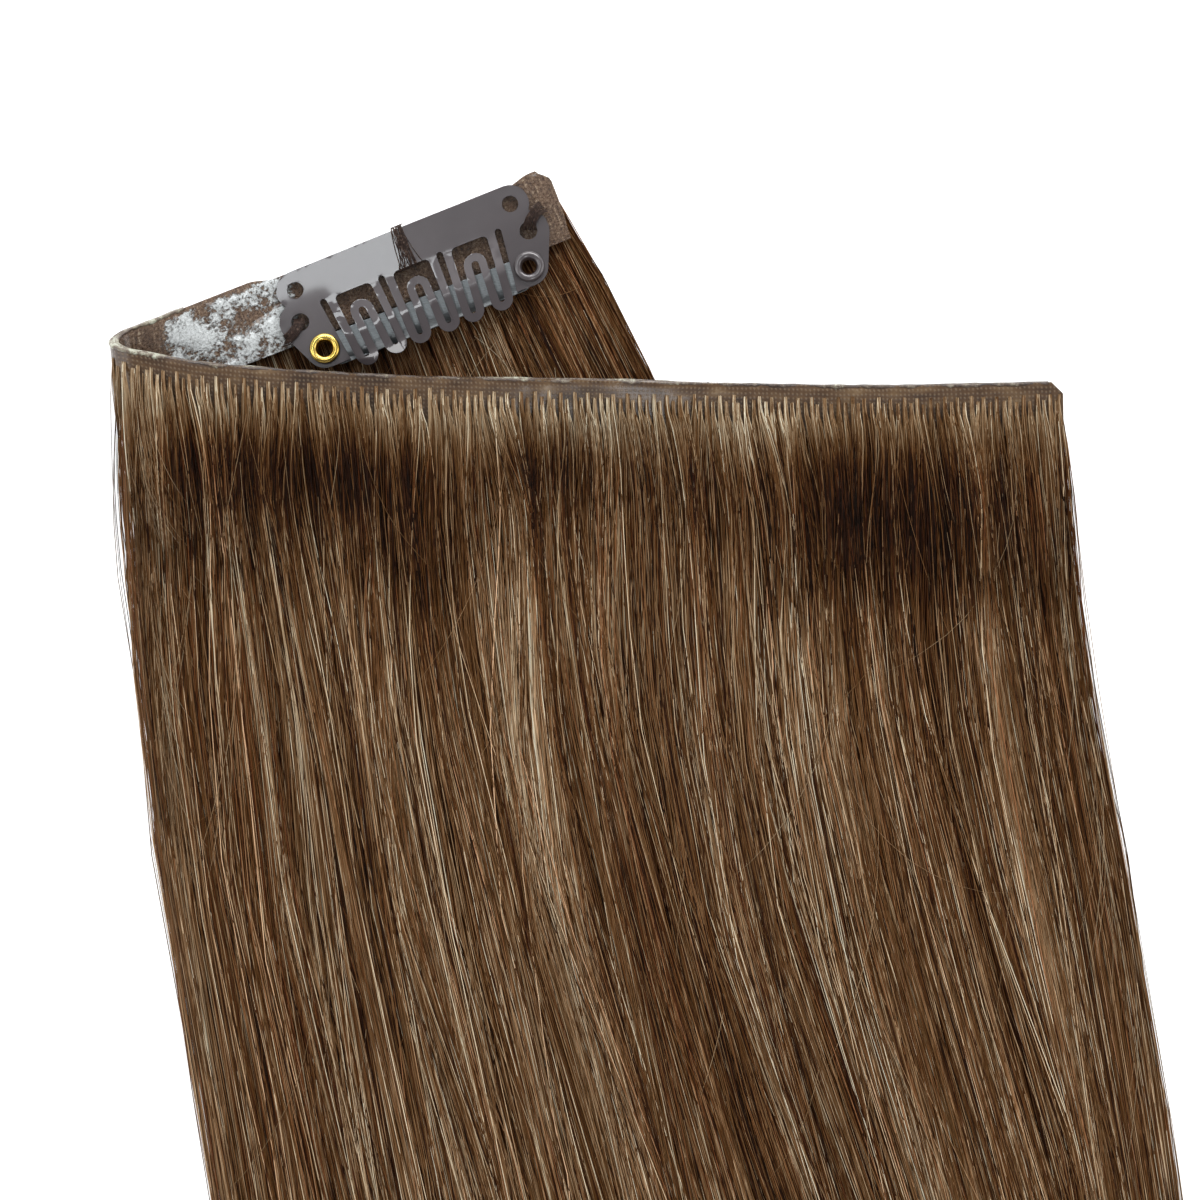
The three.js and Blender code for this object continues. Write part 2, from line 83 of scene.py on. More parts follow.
def node(tree, kind, inputs=None, stops=None, **settings):
    """Adds a node with its settings, the values or links of its inputs, and a ramp's stops."""
    made = tree.nodes.new(kind)
    for key, value in settings.items():
        setattr(made, key, value)
    for key, value in (inputs or {}).items():
        if isinstance(value, bpy.types.NodeSocket):
            tree.links.new(value, made.inputs[key])
        else:
            made.inputs[key].default_value = value
    if stops:
        elements = made.color_ramp.elements
        while len(elements) < len(stops):
            elements.new(0.5)
        for element, (place, colour) in zip(elements, stops):
            element.position = place
            element.color = srgb(colour) if isinstance(colour, str) else (colour, colour, colour, 1)
    return made


def new_material(name):
    material = bpy.data.materials.new(name)
    material.use_nodes = True
    tree = material.node_tree
    tree.nodes.clear()
    return material, tree


def surface(tree, **inputs):
    """Ends a material in one principled shader; a socket's name has _ for its spaces."""
    named = {key.replace("_", " "): value for key, value in inputs.items()}
    shader = node(tree, "ShaderNodeBsdfPrincipled", named)
    node(tree, "ShaderNodeOutputMaterial", {"Surface": shader.outputs["BSDF"]})


def object_pattern(tree, scale):
    """Object coordinates in metres, multiplied by one number for each axis."""
    place = node(tree, "ShaderNodeTexCoord")
    return node(tree, "ShaderNodeMapping", {"Vector": place.outputs["Object"], "Scale": scale})


# Real sizes of the patterns, in mm
# The next size is the hair's cuticle pattern, which also paints its highlights in stretches along
# each hair
CUTICLE_AND_HIGHLIGHT = 0.35
STREAK = 0.6
LACE_PITCH = 0.48
LACE_HAIR = 0.35
RESIN_CRUMB = 0.5
SPECK = 0.42
PAINT_ORANGE_PEEL = 0.5
RUBBED_SPOT = 6
PLATING_GRAIN = 0.12
TARNISH = 3
TWIST = 0.25


def hair_material(name, shadow):
    """Dyed human hair: smooth fibres with a soft gloss, from near black to sandy blond."""
    material, tree = new_material(name)
    # The tone attribute holds each hair's own colour together with the painted shade and highlights
    # set on it where it lies
    tone = node(tree, "ShaderNodeAttribute", attribute_name="tone")
    along = object_pattern(tree, (1 / (CUTICLE_AND_HIGHLIGHT * MM), 0.03 / (CUTICLE_AND_HIGHLIGHT * MM), 1 / (CUTICLE_AND_HIGHLIGHT * MM)))
    # Painted highlight: this noise lightens and darkens each hair in stretches about 12 mm long
    # where its glints would be; it also varies the roughness
    grain = node(tree, "ShaderNodeTexNoise",
                 {"Vector": along.outputs[0], "Scale": 1.0, "Detail": 2.0})
    spread = node(tree, "ShaderNodeMath", {0: grain.outputs["Fac"], 1: 0.36, 2: -0.17},
                  operation="MULTIPLY_ADD")
    tone_with_painted_highlights = node(tree, "ShaderNodeMath", {0: tone.outputs["Fac"], 1: spread.outputs[0]},
                   operation="ADD")
    dye_and_painted_light = node(tree, "ShaderNodeValToRGB", {"Fac": tone_with_painted_highlights.outputs[0]}, stops=[
        (0.0, shadow), (0.2, "#301503"), (0.42, "#573819"), (0.6, "#7a5c3e"),
        (0.8, "#a78f71"), (1.0, "#dfd2b8")])
    warm = node(tree, "ShaderNodeAttribute", attribute_name="warm")
    cast = node(tree, "ShaderNodeValToRGB", {"Fac": warm.outputs["Fac"]}, stops=[
        (0.0, "#eaf0f4"), (0.5, "#fffcf8"), (0.8, "#ffeedf"), (1.0, "#ffd6bf")])
    fibre = node(tree, "ShaderNodeMix", {"Factor": 1.0, "A": dye_and_painted_light.outputs["Color"],
                                         "B": cast.outputs["Color"]},
                 data_type="RGBA", blend_type="MULTIPLY")
    rough = node(tree, "ShaderNodeMapRange", {"Value": grain.outputs["Fac"], 3: 0.36, 4: 0.54})
    surface(tree, Base_Color=fibre.outputs["Result"], Roughness=rough.outputs[0], IOR=1.55,
            Specular_IOR_Level=0.1)
    return material


def mass_material():
    """The mass of hair under the loose strands: streaks along the fall, with painted shade, near
    black, between them.
    """
    material, tree = new_material("hair_mass_streaked")
    fine = object_pattern(tree, (1 / (STREAK * MM), 0.04 / (STREAK * MM), 1 / (STREAK * MM)))
    streaks = node(tree, "ShaderNodeTexNoise",
                   {"Vector": fine.outputs[0], "Scale": 1.6, "Detail": 5.0, "Roughness": 0.7})
    dye_and_painted_light = node(tree, "ShaderNodeValToRGB", {"Fac": streaks.outputs["Fac"]}, stops=[
        (0.3, "#120600"), (0.46, "#281304"), (0.58, "#422812"), (0.74, "#654a2e")])
    bump = node(tree, "ShaderNodeBump", {"Height": streaks.outputs["Fac"], "Strength": 0.8,
                                         "Distance": 0.0003})
    surface(tree, Base_Color=dye_and_painted_light.outputs["Color"], Roughness=0.6, IOR=1.55,
            Specular_IOR_Level=0.03, Normal=bump.outputs[0])
    return material


def film_material():
    """Injected polyurethane film over lace: brown, glossy, with the mesh showing as fine dots."""
    material, tree = new_material("polyurethane_band_film")
    band_map = node(tree, "ShaderNodeUVMap", uv_map="band")
    cells = node(tree, "ShaderNodeMapping", {"Vector": band_map.outputs[0],
                                             "Scale": (1 / (LACE_PITCH * MM),) * 3})
    dots = node(tree, "ShaderNodeTexVoronoi",
                {"Vector": cells.outputs[0], "Scale": 1.0, "Randomness": 0.18},
                voronoi_dimensions="2D")
    streak_map = node(tree, "ShaderNodeMapping", {"Vector": band_map.outputs[0],
                                                  "Scale": (260.0, 620.0, 1.0)})
    streaks = node(tree, "ShaderNodeTexNoise",
                   {"Vector": streak_map.outputs[0], "Scale": 1.0, "Detail": 4.0})
    body = node(tree, "ShaderNodeValToRGB", {"Fac": streaks.outputs["Fac"]}, stops=[
        (0.3, "#2c1c10"), (0.5, "#493421"), (0.68, "#604a32"), (0.85, "#8f7c63")])
    knots = node(tree, "ShaderNodeMapRange", {"Value": dots.outputs["Distance"],
                                              1: 0.1, 2: 0.36, 3: 0.42, 4: 0.0})
    colour = node(tree, "ShaderNodeMix", {"Factor": knots.outputs[0],
                                          "A": body.outputs["Color"], "B": srgb("#7c6a52")},
                  data_type="RGBA")
    height = node(tree, "ShaderNodeMath", {0: knots.outputs[0], 1: streaks.outputs["Fac"]},
                  operation="ADD")
    bump = node(tree, "ShaderNodeBump", {"Height": height.outputs[0], "Strength": 0.5,
                                         "Distance": 0.00012})
    surface(tree, Base_Color=colour.outputs["Result"], Roughness=0.3, IOR=1.5,
            Coat_Weight=0.22, Coat_Roughness=0.2, Normal=bump.outputs[0])
    return material


def lace_material():
    """Lace soaked in resin, sparkling brown, with white glossy glue where the attribute says."""
    material, tree = new_material("resin_lace_with_glue")
    band_map = node(tree, "ShaderNodeUVMap", uv_map="band")
    fine = node(tree, "ShaderNodeMapping", {"Vector": band_map.outputs[0],
                                            "Scale": (1 / (RESIN_CRUMB * MM),) * 3})
    crumbs = node(tree, "ShaderNodeTexNoise",
                  {"Vector": fine.outputs[0], "Scale": 1.5, "Detail": 6.0, "Roughness": 0.8})
    hair_map = node(tree, "ShaderNodeMapping", {"Vector": band_map.outputs[0],
                                                "Scale": (1 / (LACE_HAIR * MM), 1 / (4 * MM), 1.0)})
    hairs = node(tree, "ShaderNodeTexNoise",
                 {"Vector": hair_map.outputs[0], "Scale": 1.0, "Detail": 3.0})
    drawn = node(tree, "ShaderNodeMath", {0: hairs.outputs["Fac"], 1: 0.35}, operation="MULTIPLY")
    mixed = node(tree, "ShaderNodeMath", {0: crumbs.outputs["Fac"], 1: 1.0,
                                          2: drawn.outputs[0]}, operation="MULTIPLY_ADD")
    # The palest crumbs are partly the resin's own pale crystals and partly a painted sparkle
    body = node(tree, "ShaderNodeValToRGB", {"Fac": mixed.outputs[0]}, stops=[
        (0.48, "#1c0f07"), (0.62, "#48311f"), (0.75, "#705843"), (0.9, "#c9baa3")])
    glue = node(tree, "ShaderNodeAttribute", attribute_name="glue")
    speck_map = node(tree, "ShaderNodeMapping", {"Vector": band_map.outputs[0],
                                                 "Scale": (1 / (SPECK * MM),) * 3})
    specks = node(tree, "ShaderNodeTexNoise", {"Vector": speck_map.outputs[0], "Scale": 1.0,
                                               "Detail": 4.0, "Roughness": 0.7})
    edge = node(tree, "ShaderNodeMath", {0: specks.outputs["Fac"], 1: 1.5,
                                         2: glue.outputs["Fac"]}, operation="MULTIPLY_ADD")
    cover = node(tree, "ShaderNodeMapRange", {"Value": edge.outputs[0], 1: 1.12, 2: 1.3})
    white = node(tree, "ShaderNodeValToRGB", {"Fac": crumbs.outputs["Fac"]}, stops=[
        (0.34, "#7f817c"), (0.5, "#c6cacb"), (0.66, "#eff2f2")])
    colour = node(tree, "ShaderNodeMix", {"Factor": cover.outputs[0],
                                          "A": body.outputs["Color"],
                                          "B": white.outputs["Color"]}, data_type="RGBA")
    rough = node(tree, "ShaderNodeMapRange", {"Value": crumbs.outputs["Fac"],
                                              1: 0.35, 2: 0.65, 3: 0.12, 4: 0.5})
    height = node(tree, "ShaderNodeMath", {0: cover.outputs[0], 1: 1.2, 2: mixed.outputs[0]},
                  operation="MULTIPLY_ADD")
    bump = node(tree, "ShaderNodeBump", {"Height": height.outputs[0], "Strength": 0.9,
                                         "Distance": 0.00032})
    surface(tree, Base_Color=colour.outputs["Result"], Roughness=rough.outputs[0], IOR=1.5,
            Coat_Weight=0.7, Coat_Roughness=0.08, Normal=bump.outputs[0])
    return material


def rim_material():
    """Dried resin along the band's edge: pale and crusty, brown where it is thin."""
    material, tree = new_material("dried_resin_rim")
    tone = node(tree, "ShaderNodeAttribute", attribute_name="tone")
    place = object_pattern(tree, (1 / (RESIN_CRUMB * MM),) * 3)
    crust = node(tree, "ShaderNodeTexNoise",
                 {"Vector": place.outputs[0], "Scale": 1.0, "Detail": 5.0, "Roughness": 0.75})
    mixed = node(tree, "ShaderNodeMath", {0: crust.outputs["Fac"], 1: 1.2,
                                          2: tone.outputs["Fac"]}, operation="MULTIPLY_ADD")
    body = node(tree, "ShaderNodeValToRGB", {"Fac": mixed.outputs[0]}, stops=[
        (0.45, "#1f1510"), (0.72, "#4a382b"), (0.9, "#79715f"), (1.0, "#a6a897")])
    bump = node(tree, "ShaderNodeBump", {"Height": crust.outputs["Fac"], "Strength": 0.9,
                                         "Distance": 0.0002})
    surface(tree, Base_Color=body.outputs["Color"], Roughness=0.35, IOR=1.5,
            Coat_Weight=0.4, Coat_Roughness=0.2, Normal=bump.outputs[0])
    return material


def painted_steel(name, colour, dark, roughness):
    """Spring steel with baked paint: satin, faint orange peel, darker in the rubbed spots."""
    material, tree = new_material(name)
    place = object_pattern(tree, (1 / (PAINT_ORANGE_PEEL * MM),) * 3)
    peel = node(tree, "ShaderNodeTexNoise", {"Vector": place.outputs[0], "Scale": 1.0,
                                             "Detail": 3.0})
    wide = object_pattern(tree, (1 / (RUBBED_SPOT * MM),) * 3)
    clouds = node(tree, "ShaderNodeTexNoise", {"Vector": wide.outputs[0], "Scale": 1.0,
                                               "Detail": 4.0})
    tint = node(tree, "ShaderNodeValToRGB", {"Fac": clouds.outputs["Fac"]}, stops=[
        (0.3, dark), (0.7, colour)])
    rough = node(tree, "ShaderNodeMapRange", {"Value": clouds.outputs["Fac"], 1: 0.3, 2: 0.7,
                                              3: roughness, 4: roughness + 0.08})
    bump = node(tree, "ShaderNodeBump", {"Height": peel.outputs["Fac"], "Strength": 0.12,
                                         "Distance": 0.00003})
    surface(tree, Base_Color=tint.outputs["Color"], Metallic=0.2, Roughness=rough.outputs[0],
            Coat_Weight=1.0, Coat_Roughness=0.08, Normal=bump.outputs[0])
    return material


def plated_steel():
    """Zinc-plated strip: cool grey, drawn lengthwise, with a dull bloom."""
    material, tree = new_material("zinc_plated_steel")
    grain = object_pattern(tree, (0.3 / (PLATING_GRAIN * MM), 1 / (PLATING_GRAIN * MM),
                                  1 / (PLATING_GRAIN * MM)))
    lines = node(tree, "ShaderNodeTexNoise", {"Vector": grain.outputs[0], "Scale": 1.0,
                                              "Detail": 2.0})
    tint = node(tree, "ShaderNodeValToRGB", {"Fac": lines.outputs["Fac"]}, stops=[
        (0.3, "#6b6e70"), (0.7, "#808486")])
    rough = node(tree, "ShaderNodeMapRange", {"Value": lines.outputs["Fac"], 3: 0.3, 4: 0.5})
    surface(tree, Base_Color=tint.outputs["Color"], Metallic=0.9, Roughness=rough.outputs[0])
    return material


def brass():
    """Lacquered brass eyelet: bright yellow, with a little tarnish in patches."""
    material, tree = new_material("lacquered_brass")
    place = object_pattern(tree, (1 / (TARNISH * MM),) * 3)
    tarnish = node(tree, "ShaderNodeTexNoise", {"Vector": place.outputs[0], "Scale": 1.0,
                                                "Detail": 3.0})
    tint = node(tree, "ShaderNodeValToRGB", {"Fac": tarnish.outputs["Fac"]}, stops=[
        (0.3, "#c19c3c"), (0.7, "#dcc06a")])
    surface(tree, Base_Color=tint.outputs["Color"], Metallic=1.0, Roughness=0.22)
    return material


def thread_material():
    """Twisted polyester sewing thread, dark brown, with a dull fibre."""
    material, tree = new_material("sewing_thread")
    place = object_pattern(tree, (1 / (TWIST * MM),) * 3)
    twist = node(tree, "ShaderNodeTexNoise", {"Vector": place.outputs[0], "Scale": 1.0,
                                              "Detail": 3.0})
    tint = node(tree, "ShaderNodeValToRGB", {"Fac": twist.outputs["Fac"]}, stops=[
        (0.3, "#150b08"), (0.55, "#30221c"), (0.75, "#5f4f46")])
    surface(tree, Base_Color=tint.outputs["Color"], Roughness=0.65, Specular_IOR_Level=0.2)
    return material


HAIR = hair_material("human_hair_dyed", "#100500")
HAIR_MASS = mass_material()
FILM = film_material()
LACE = lace_material()
RIM = rim_material()
PAINT = painted_steel("painted_spring_steel", "#464042", "#3b3537", 0.28)
PLATING = plated_steel()
BRASS = brass()
THREAD = thread_material()

# The band's course, in mm and degrees, in a frame that starts at the band's right end
BAND_WIDTH = 8.5
BAND_THICKNESS = 1.0
UPPER_RUN = 104.0
LOWER_RUN = 49.7
LOWER_ANGLE = 21.3
FOLD_RISE = 3.4
FOLD_TILT = 10.0
END_TILT = 8.5
CROWN_TILT = 24.0
EASE_LENGTH = 10.0
CORNER_CUT = 1.3
ROOT_LINE = 1.9
SIDE_MARGIN = 0.4
HAIR_LENGTH = 300.0
LOWER_MID = 2.05
LOWER_TOP = LOWER_MID + BAND_THICKNESS / 2
CLIP_BELOW_BAND = 2.55
CLIP_OVERHANG = 9.35
LOWER_HAIR_START = 9.0
LOWER_TURN = 16.0
LOWER_FAN = 9.0
LOWER_TURN_LENGTH = 120.0

# Rows of (share of the run, sideways rise of the top edge as a share of the fold's rise)
UPPER_RISE = [(0, 0), (0.19, -0.12), (0.48, 0.02), (0.7, 0.17), (0.84, 0.39), (0.93, 0.62),
              (1, 1)]
# Rows of (share of the hair's length, drift, spread)
DRIFT = [(0, 0), (0.1, 0.0087), (0.2, 0.0235), (0.31, 0.0413), (0.5, 0.068), (0.75, 0.09),
         (1, 0.095)]
SPREAD = [(0, 1), (0.1, 1.013), (0.2, 1.035), (0.31, 1.03), (0.5, 1.02), (0.75, 0.97),
          (1, 0.86)]


def clamp(value, low, high):
    return min(max(value, low), high)


def ease(value):
    t = clamp(value, 0, 1)
    return t * t * (3 - 2 * t)


def lerp(a, b, t):
    return a + (b - a) * t


def noise_at(x, y, z):
    return noise.noise(Vector((x, y, z)))


def turn(degrees):
    return Vector((math.cos(math.radians(degrees)), math.sin(math.radians(degrees))))


def curved(rows, at):
    """Value on a smooth curve through a table's rows."""
    last = len(rows) - 1
    k = next((i for i, row in enumerate(rows) if row[0] >= at), last)
    k = clamp(k, 1, last)
    (at_a, a), (at_b, b) = rows[k - 1], rows[k]
    at_before, before = rows[max(k - 2, 0)]
    at_after, after = rows[min(k + 1, last)]
    t = clamp((at - at_a) / (at_b - at_a), 0, 1)
    span = at_b - at_a
    slope_a = (b - before) / (at_b - at_before)
    slope_b = (after - a) / (at_after - at_a)
    return ((2 * t ** 3 - 3 * t * t + 1) * a + (t ** 3 - 2 * t * t + t) * span * slope_a
            + (3 * t * t - 2 * t ** 3) * b + (t ** 3 - t * t) * span * slope_b)


def height_over(support, tilt):
    return support + 0.3 + CLIP_BELOW_BAND + CLIP_OVERHANG * math.sin(math.radians(tilt))


END_HEIGHT = height_over(0, END_TILT)
FOLD_HEIGHT = height_over(1.7, FOLD_TILT)
LIE = [(35 / UPPER_RUN, END_HEIGHT, END_TILT),
       (0.5, (END_HEIGHT + FOLD_HEIGHT) / 2, CROWN_TILT),
       (68 / UPPER_RUN, FOLD_HEIGHT, FOLD_TILT)]


def lie(at, column):
    """Height (1) or tilt (2) of the upper run, eased between its rows."""
    if at <= LIE[0][0]:
        return LIE[0][column]
    for a, b in zip(LIE, LIE[1:]):
        if at <= b[0]:
            return lerp(a[column], b[column], ease((at - a[0]) / (b[0] - a[0])))
    return LIE[-1][column]


def upper_edge(along):
    return Vector((-along, FOLD_RISE * curved(UPPER_RISE, along / UPPER_RUN)))


def upper_tilt(along):
    return math.radians(lie(along / UPPER_RUN, 2))


def upper_top(along):
    return lie(along / UPPER_RUN, 1) + BAND_WIDTH / 2 * math.sin(upper_tilt(along))


def upper_climb(along):
    a = upper_edge(max(along - 0.5, 0))
    b = upper_edge(min(along + 0.5, UPPER_RUN))
    return math.degrees(math.atan2(b.y - a.y, a.x - b.x))


FOLD_SKEW = (LOWER_ANGLE + upper_climb(UPPER_RUN)) / 2
FOLD_TAN = math.tan(math.radians(FOLD_SKEW))
FOLD_SIN = math.sin(math.radians(FOLD_TILT))
FOLD_COS = math.cos(math.radians(FOLD_TILT))
FOLD_RADIUS = (FOLD_HEIGHT - LOWER_MID) / (2 * FOLD_COS - math.pi * FOLD_TAN * FOLD_SIN)
FOLD_LENGTH = math.pi * FOLD_RADIUS
CREASE_ANGLE = LOWER_ANGLE + 90 - FOLD_SKEW
crease_plan = turn(CREASE_ANGLE)
CREASE = Vector((crease_plan.x * FOLD_COS, crease_plan.y * FOLD_COS, FOLD_SIN))
FOLD_OUT = Vector((*turn(CREASE_ANGLE + 90), 0))
FOLD_UP = Vector((-crease_plan.x * FOLD_SIN, -crease_plan.y * FOLD_SIN, FOLD_COS))
FOLD_START = Vector((*upper_edge(UPPER_RUN), upper_top(UPPER_RUN)))


def fold_edge(angle):
    return (FOLD_START + FOLD_OUT * (FOLD_RADIUS * math.sin(angle))
            + CREASE * (FOLD_RADIUS * angle * FOLD_TAN)
            + FOLD_UP * (FOLD_RADIUS * (math.cos(angle) - 1)))


LOWER_START = fold_edge(math.pi)
BAND_LENGTH = LOWER_RUN + FOLD_LENGTH + UPPER_RUN


def band_surface(along, across):
    """Middle of the band: along from the lower run's free end, across from the top edge."""
    if along < LOWER_RUN:
        from_fold = LOWER_RUN - along
        left = 1 - ease(from_fold / EASE_LENGTH)
        tilt = math.radians(FOLD_TILT) * left
        down = turn(LOWER_ANGLE - 90 - FOLD_SKEW * left)
        reach = across / math.cos(math.radians(FOLD_SKEW * left))
        start = LOWER_START.xy + turn(LOWER_ANGLE) * from_fold + down * reach * math.cos(tilt)
        return Vector((*start, LOWER_MID + (BAND_WIDTH / 2 - reach) * math.sin(tilt)))
    if along < LOWER_RUN + FOLD_LENGTH:
        angle = math.pi - (along - LOWER_RUN) / FOLD_RADIUS
        return fold_edge(angle) - CREASE * (across / math.cos(math.radians(FOLD_SKEW)))
    from_end = BAND_LENGTH - along
    skew = FOLD_SKEW * ease(1 - (UPPER_RUN - from_end) / EASE_LENGTH)
    tilt = upper_tilt(from_end)
    down = turn(-90 - upper_climb(from_end) + skew)
    reach = across / math.cos(math.radians(skew))
    plan = upper_edge(from_end) + down * reach * math.cos(tilt)
    return Vector((*plan, upper_top(from_end) - reach * math.sin(tilt)))


def band_normal(along, across):
    """Outward direction of the hair side."""
    tangent = (band_surface(min(along + 0.2, BAND_LENGTH), across)
               - band_surface(max(along - 0.2, 0), across)).normalized()
    widthwise = band_surface(along, across) - band_surface(along, across + 1)
    return tangent.cross(widthwise).normalized()


def corner_limit(along, across):
    return min(along, BAND_LENGTH - max(CORNER_CUT - across, 0))


# The shift from this course's frame to the model's, from the band's own box
outline = [band_surface(corner_limit(BAND_LENGTH * i / 400, a), a)
           + band_normal(corner_limit(BAND_LENGTH * i / 400, a), a) * side * 0.5
           for i in range(401) for a in (0, CORNER_CUT, BAND_WIDTH) for side in (-1, 1)]
SHIFT = Vector((
    band_high.x / MM - max(p.x for p in outline),
    band_high.y / MM - max(p.y for p in outline),
    band_low.z / MM - min(p.z for p in outline),
))


def placed(point):
    return (Vector(point) + SHIFT) * MM


def baked(mesh, name):
    """A bmesh as a mesh."""
    data = bpy.data.meshes.new(name)
    mesh.to_mesh(data)
    mesh.free()
    return data


def finished(name, mesh, material, slot, *replaced):
    """Links a piece to the scene, gives it its finish and lets it ride on the body."""
    piece = bpy.data.objects.new(name, mesh)
    scene.collection.objects.link(piece)
    if material:
        mesh.materials.clear()
        mesh.materials.append(material)
    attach(piece, "root")
    if replaced:
        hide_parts(*replaced)
    return piece


def ragged_end(across):
    """The lower run's free end, cut by hand with a blunt top corner."""
    return (1.3 * (1 - ease(across / 1.6)) + 0.25 * ease((across - 5) / 3)
            + 0.12 * noise_at(across * 1.4, 0.2, 3.3))


TRIMMED_EDGE = 0.62


def band_layer(name, low, high, material, glue=None):
    """A closed layer of the band between two heights over its middle, with a map in metres."""
    stations, courses = 340, 20
    mesh = bmesh.new()
    chart = mesh.loops.layers.uv.new("band")
    cover = mesh.verts.layers.float.new("glue")
    rows = []
    for side in (low, high):
        sheet = []
        for i in range(stations + 1):
            line = []
            station = BAND_LENGTH * i / stations
            trimmed = TRIMMED_EDGE * ease((station - 2) / 3) * ease((36 - station) / 3)
            for j in range(courses + 1):
                across = lerp(trimmed, BAND_WIDTH, j / courses)
                along = max(corner_limit(station, across), ragged_end(across))
                amount = glue(along, across) if glue and side == low else 0
                edge = min(across, BAND_WIDTH - across, 0.35) / 0.35
                rounding = 0.12 * (1 - math.sqrt(edge * (2 - edge))) * (1 if side > 0 else -1)
                lift = side - rounding - 0.22 * ease(amount * 2 - 0.6)
                ripple = 0.05 * noise_at(along * 0.7, across * 0.9, side * 9)
                point = band_surface(along, across) + band_normal(along, across) * (lift + ripple)
                vertex = mesh.verts.new(placed(point))
                vertex[cover] = amount
                line.append((vertex, (along * MM, across * MM)))
            sheet.append(line)
        rows.append(sheet)

    def face(corners):
        made = mesh.faces.new([vertex for vertex, _ in corners])
        made.smooth = True
        for loop, (_, where) in zip(made.loops, corners):
            loop[chart].uv = where

    under, over = rows
    for i in range(stations):
        for j in range(courses):
            face([over[i][j], over[i][j + 1], over[i + 1][j + 1], over[i + 1][j]])
            face([under[i][j], under[i + 1][j], under[i + 1][j + 1], under[i][j + 1]])
        face([over[i][0], over[i + 1][0], under[i + 1][0], under[i][0]])
        face([over[i + 1][-1], over[i][-1], under[i][-1], under[i + 1][-1]])
    for j in range(courses):
        face([over[0][j + 1], over[0][j], under[0][j], under[0][j + 1]])
        face([over[-1][j], over[-1][j + 1], under[-1][j + 1], under[-1][j]])
    bmesh.ops.recalc_face_normals(mesh, faces=mesh.faces)
    data = baked(mesh, name)
    data.set_sharp_from_angle(angle=math.radians(50))
    return finished(name, data, material, "band_film")


def glue_cover(along, across):
    """How thickly the glue lies on the lower run's inner face, between the clip and the fold."""
    from_fold = LOWER_RUN - along
    inside = ease((from_fold - 1.2) / 3.5) * ease((21.5 - from_fold) / 7)
    if inside == 0:
        return 0
    patches = noise_at(along * 0.33, across * 0.33, 4.2)
    crumbs = noise_at(along * 1.1, across * 1.1, 1.7)
    side = ease(across / 0.8)
    return clamp(0.55 + 0.5 * patches + 0.4 * crumbs, 0, 1) * inside * side


film = band_layer("band_film", 0.02, 0.5, FILM)
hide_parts("band")
band_layer("band_lace", -0.5, 0.0, LACE, glue_cover)


def tube_tree(material):
    """Gives every line of a mesh a round section of its own thickness."""
    tree = bpy.data.node_groups.new("tubes_along_lines", "GeometryNodeTree")
    tree.interface.new_socket("Geometry", in_out="INPUT", socket_type="NodeSocketGeometry")
    tree.interface.new_socket("Sides", in_out="INPUT", socket_type="NodeSocketInt")
    tree.interface.new_socket("Geometry", in_out="OUTPUT", socket_type="NodeSocketGeometry")
    given = node(tree, "NodeGroupInput")
    lines = node(tree, "GeometryNodeMeshToCurve", {"Mesh": given.outputs["Geometry"]})
    section = node(tree, "GeometryNodeCurvePrimitiveCircle",
                   {"Resolution": given.outputs["Sides"], "Radius": 1.0})
    thick = node(tree, "GeometryNodeInputNamedAttribute", {"Name": "thick"})
    tubes = node(tree, "GeometryNodeCurveToMesh", {
        "Curve": lines.outputs[0], "Profile Curve": section.outputs[0],
        "Scale": thick.outputs[0], "Fill Caps": True})
    smooth = node(tree, "GeometryNodeSetShadeSmooth", {"Geometry": tubes.outputs[0]})
    whole = node(tree, "GeometryNodeRealizeInstances", {"Geometry": smooth.outputs[0]})
    dressed = node(tree, "GeometryNodeSetMaterial",
                   {"Geometry": whole.outputs[0], "Material": material})
    node(tree, "NodeGroupOutput", {"Geometry": dressed.outputs[0]})
    return tree


def input_id(tree, name):
    return next(item.identifier for item in tree.interface.items_tree
                if item.name == name and item.in_out == "INPUT")


def tubes(name, lines, material, slot, sides=3):
    """Lines of (point in metres, thickness in mm, tone) as one mesh of thin tubes."""
    points, radii, tones, casts, edges = [], [], [], [], []
    for line in lines:
        first = len(points)
        for place, thick, tone, *warm in line:
            points.append(place)
            radii.append(thick * MM / 2)
            tones.append(tone)
            casts.append(warm[0] if warm else 0.5)
        edges.extend((k, k + 1) for k in range(first, len(points) - 1))
    skeleton = bpy.data.meshes.new(name + "_lines")
    skeleton.from_pydata(points, edges, [])
    for key, values in (("thick", radii), ("tone", tones), ("warm", casts)):
        skeleton.attributes.new(key, "FLOAT", "POINT").data.foreach_set("value", values)
    carrier = bpy.data.objects.new(name + "_lines", skeleton)
    scene.collection.objects.link(carrier)
    tree = tube_tree(material)
    modifier = carrier.modifiers.new("tubes", "NODES")
    modifier.node_group = tree
    modifier[input_id(tree, "Sides")] = sides
    graph = bpy.context.evaluated_depsgraph_get()
    mesh = bpy.data.meshes.new_from_object(carrier.evaluated_get(graph))
    carrier.modifiers.remove(modifier)
    bpy.data.objects.remove(carrier)
    mesh.name = name
    return finished(name, mesh, None, slot)


RIM_IN = 0.1
RIM_STEP = 0.35


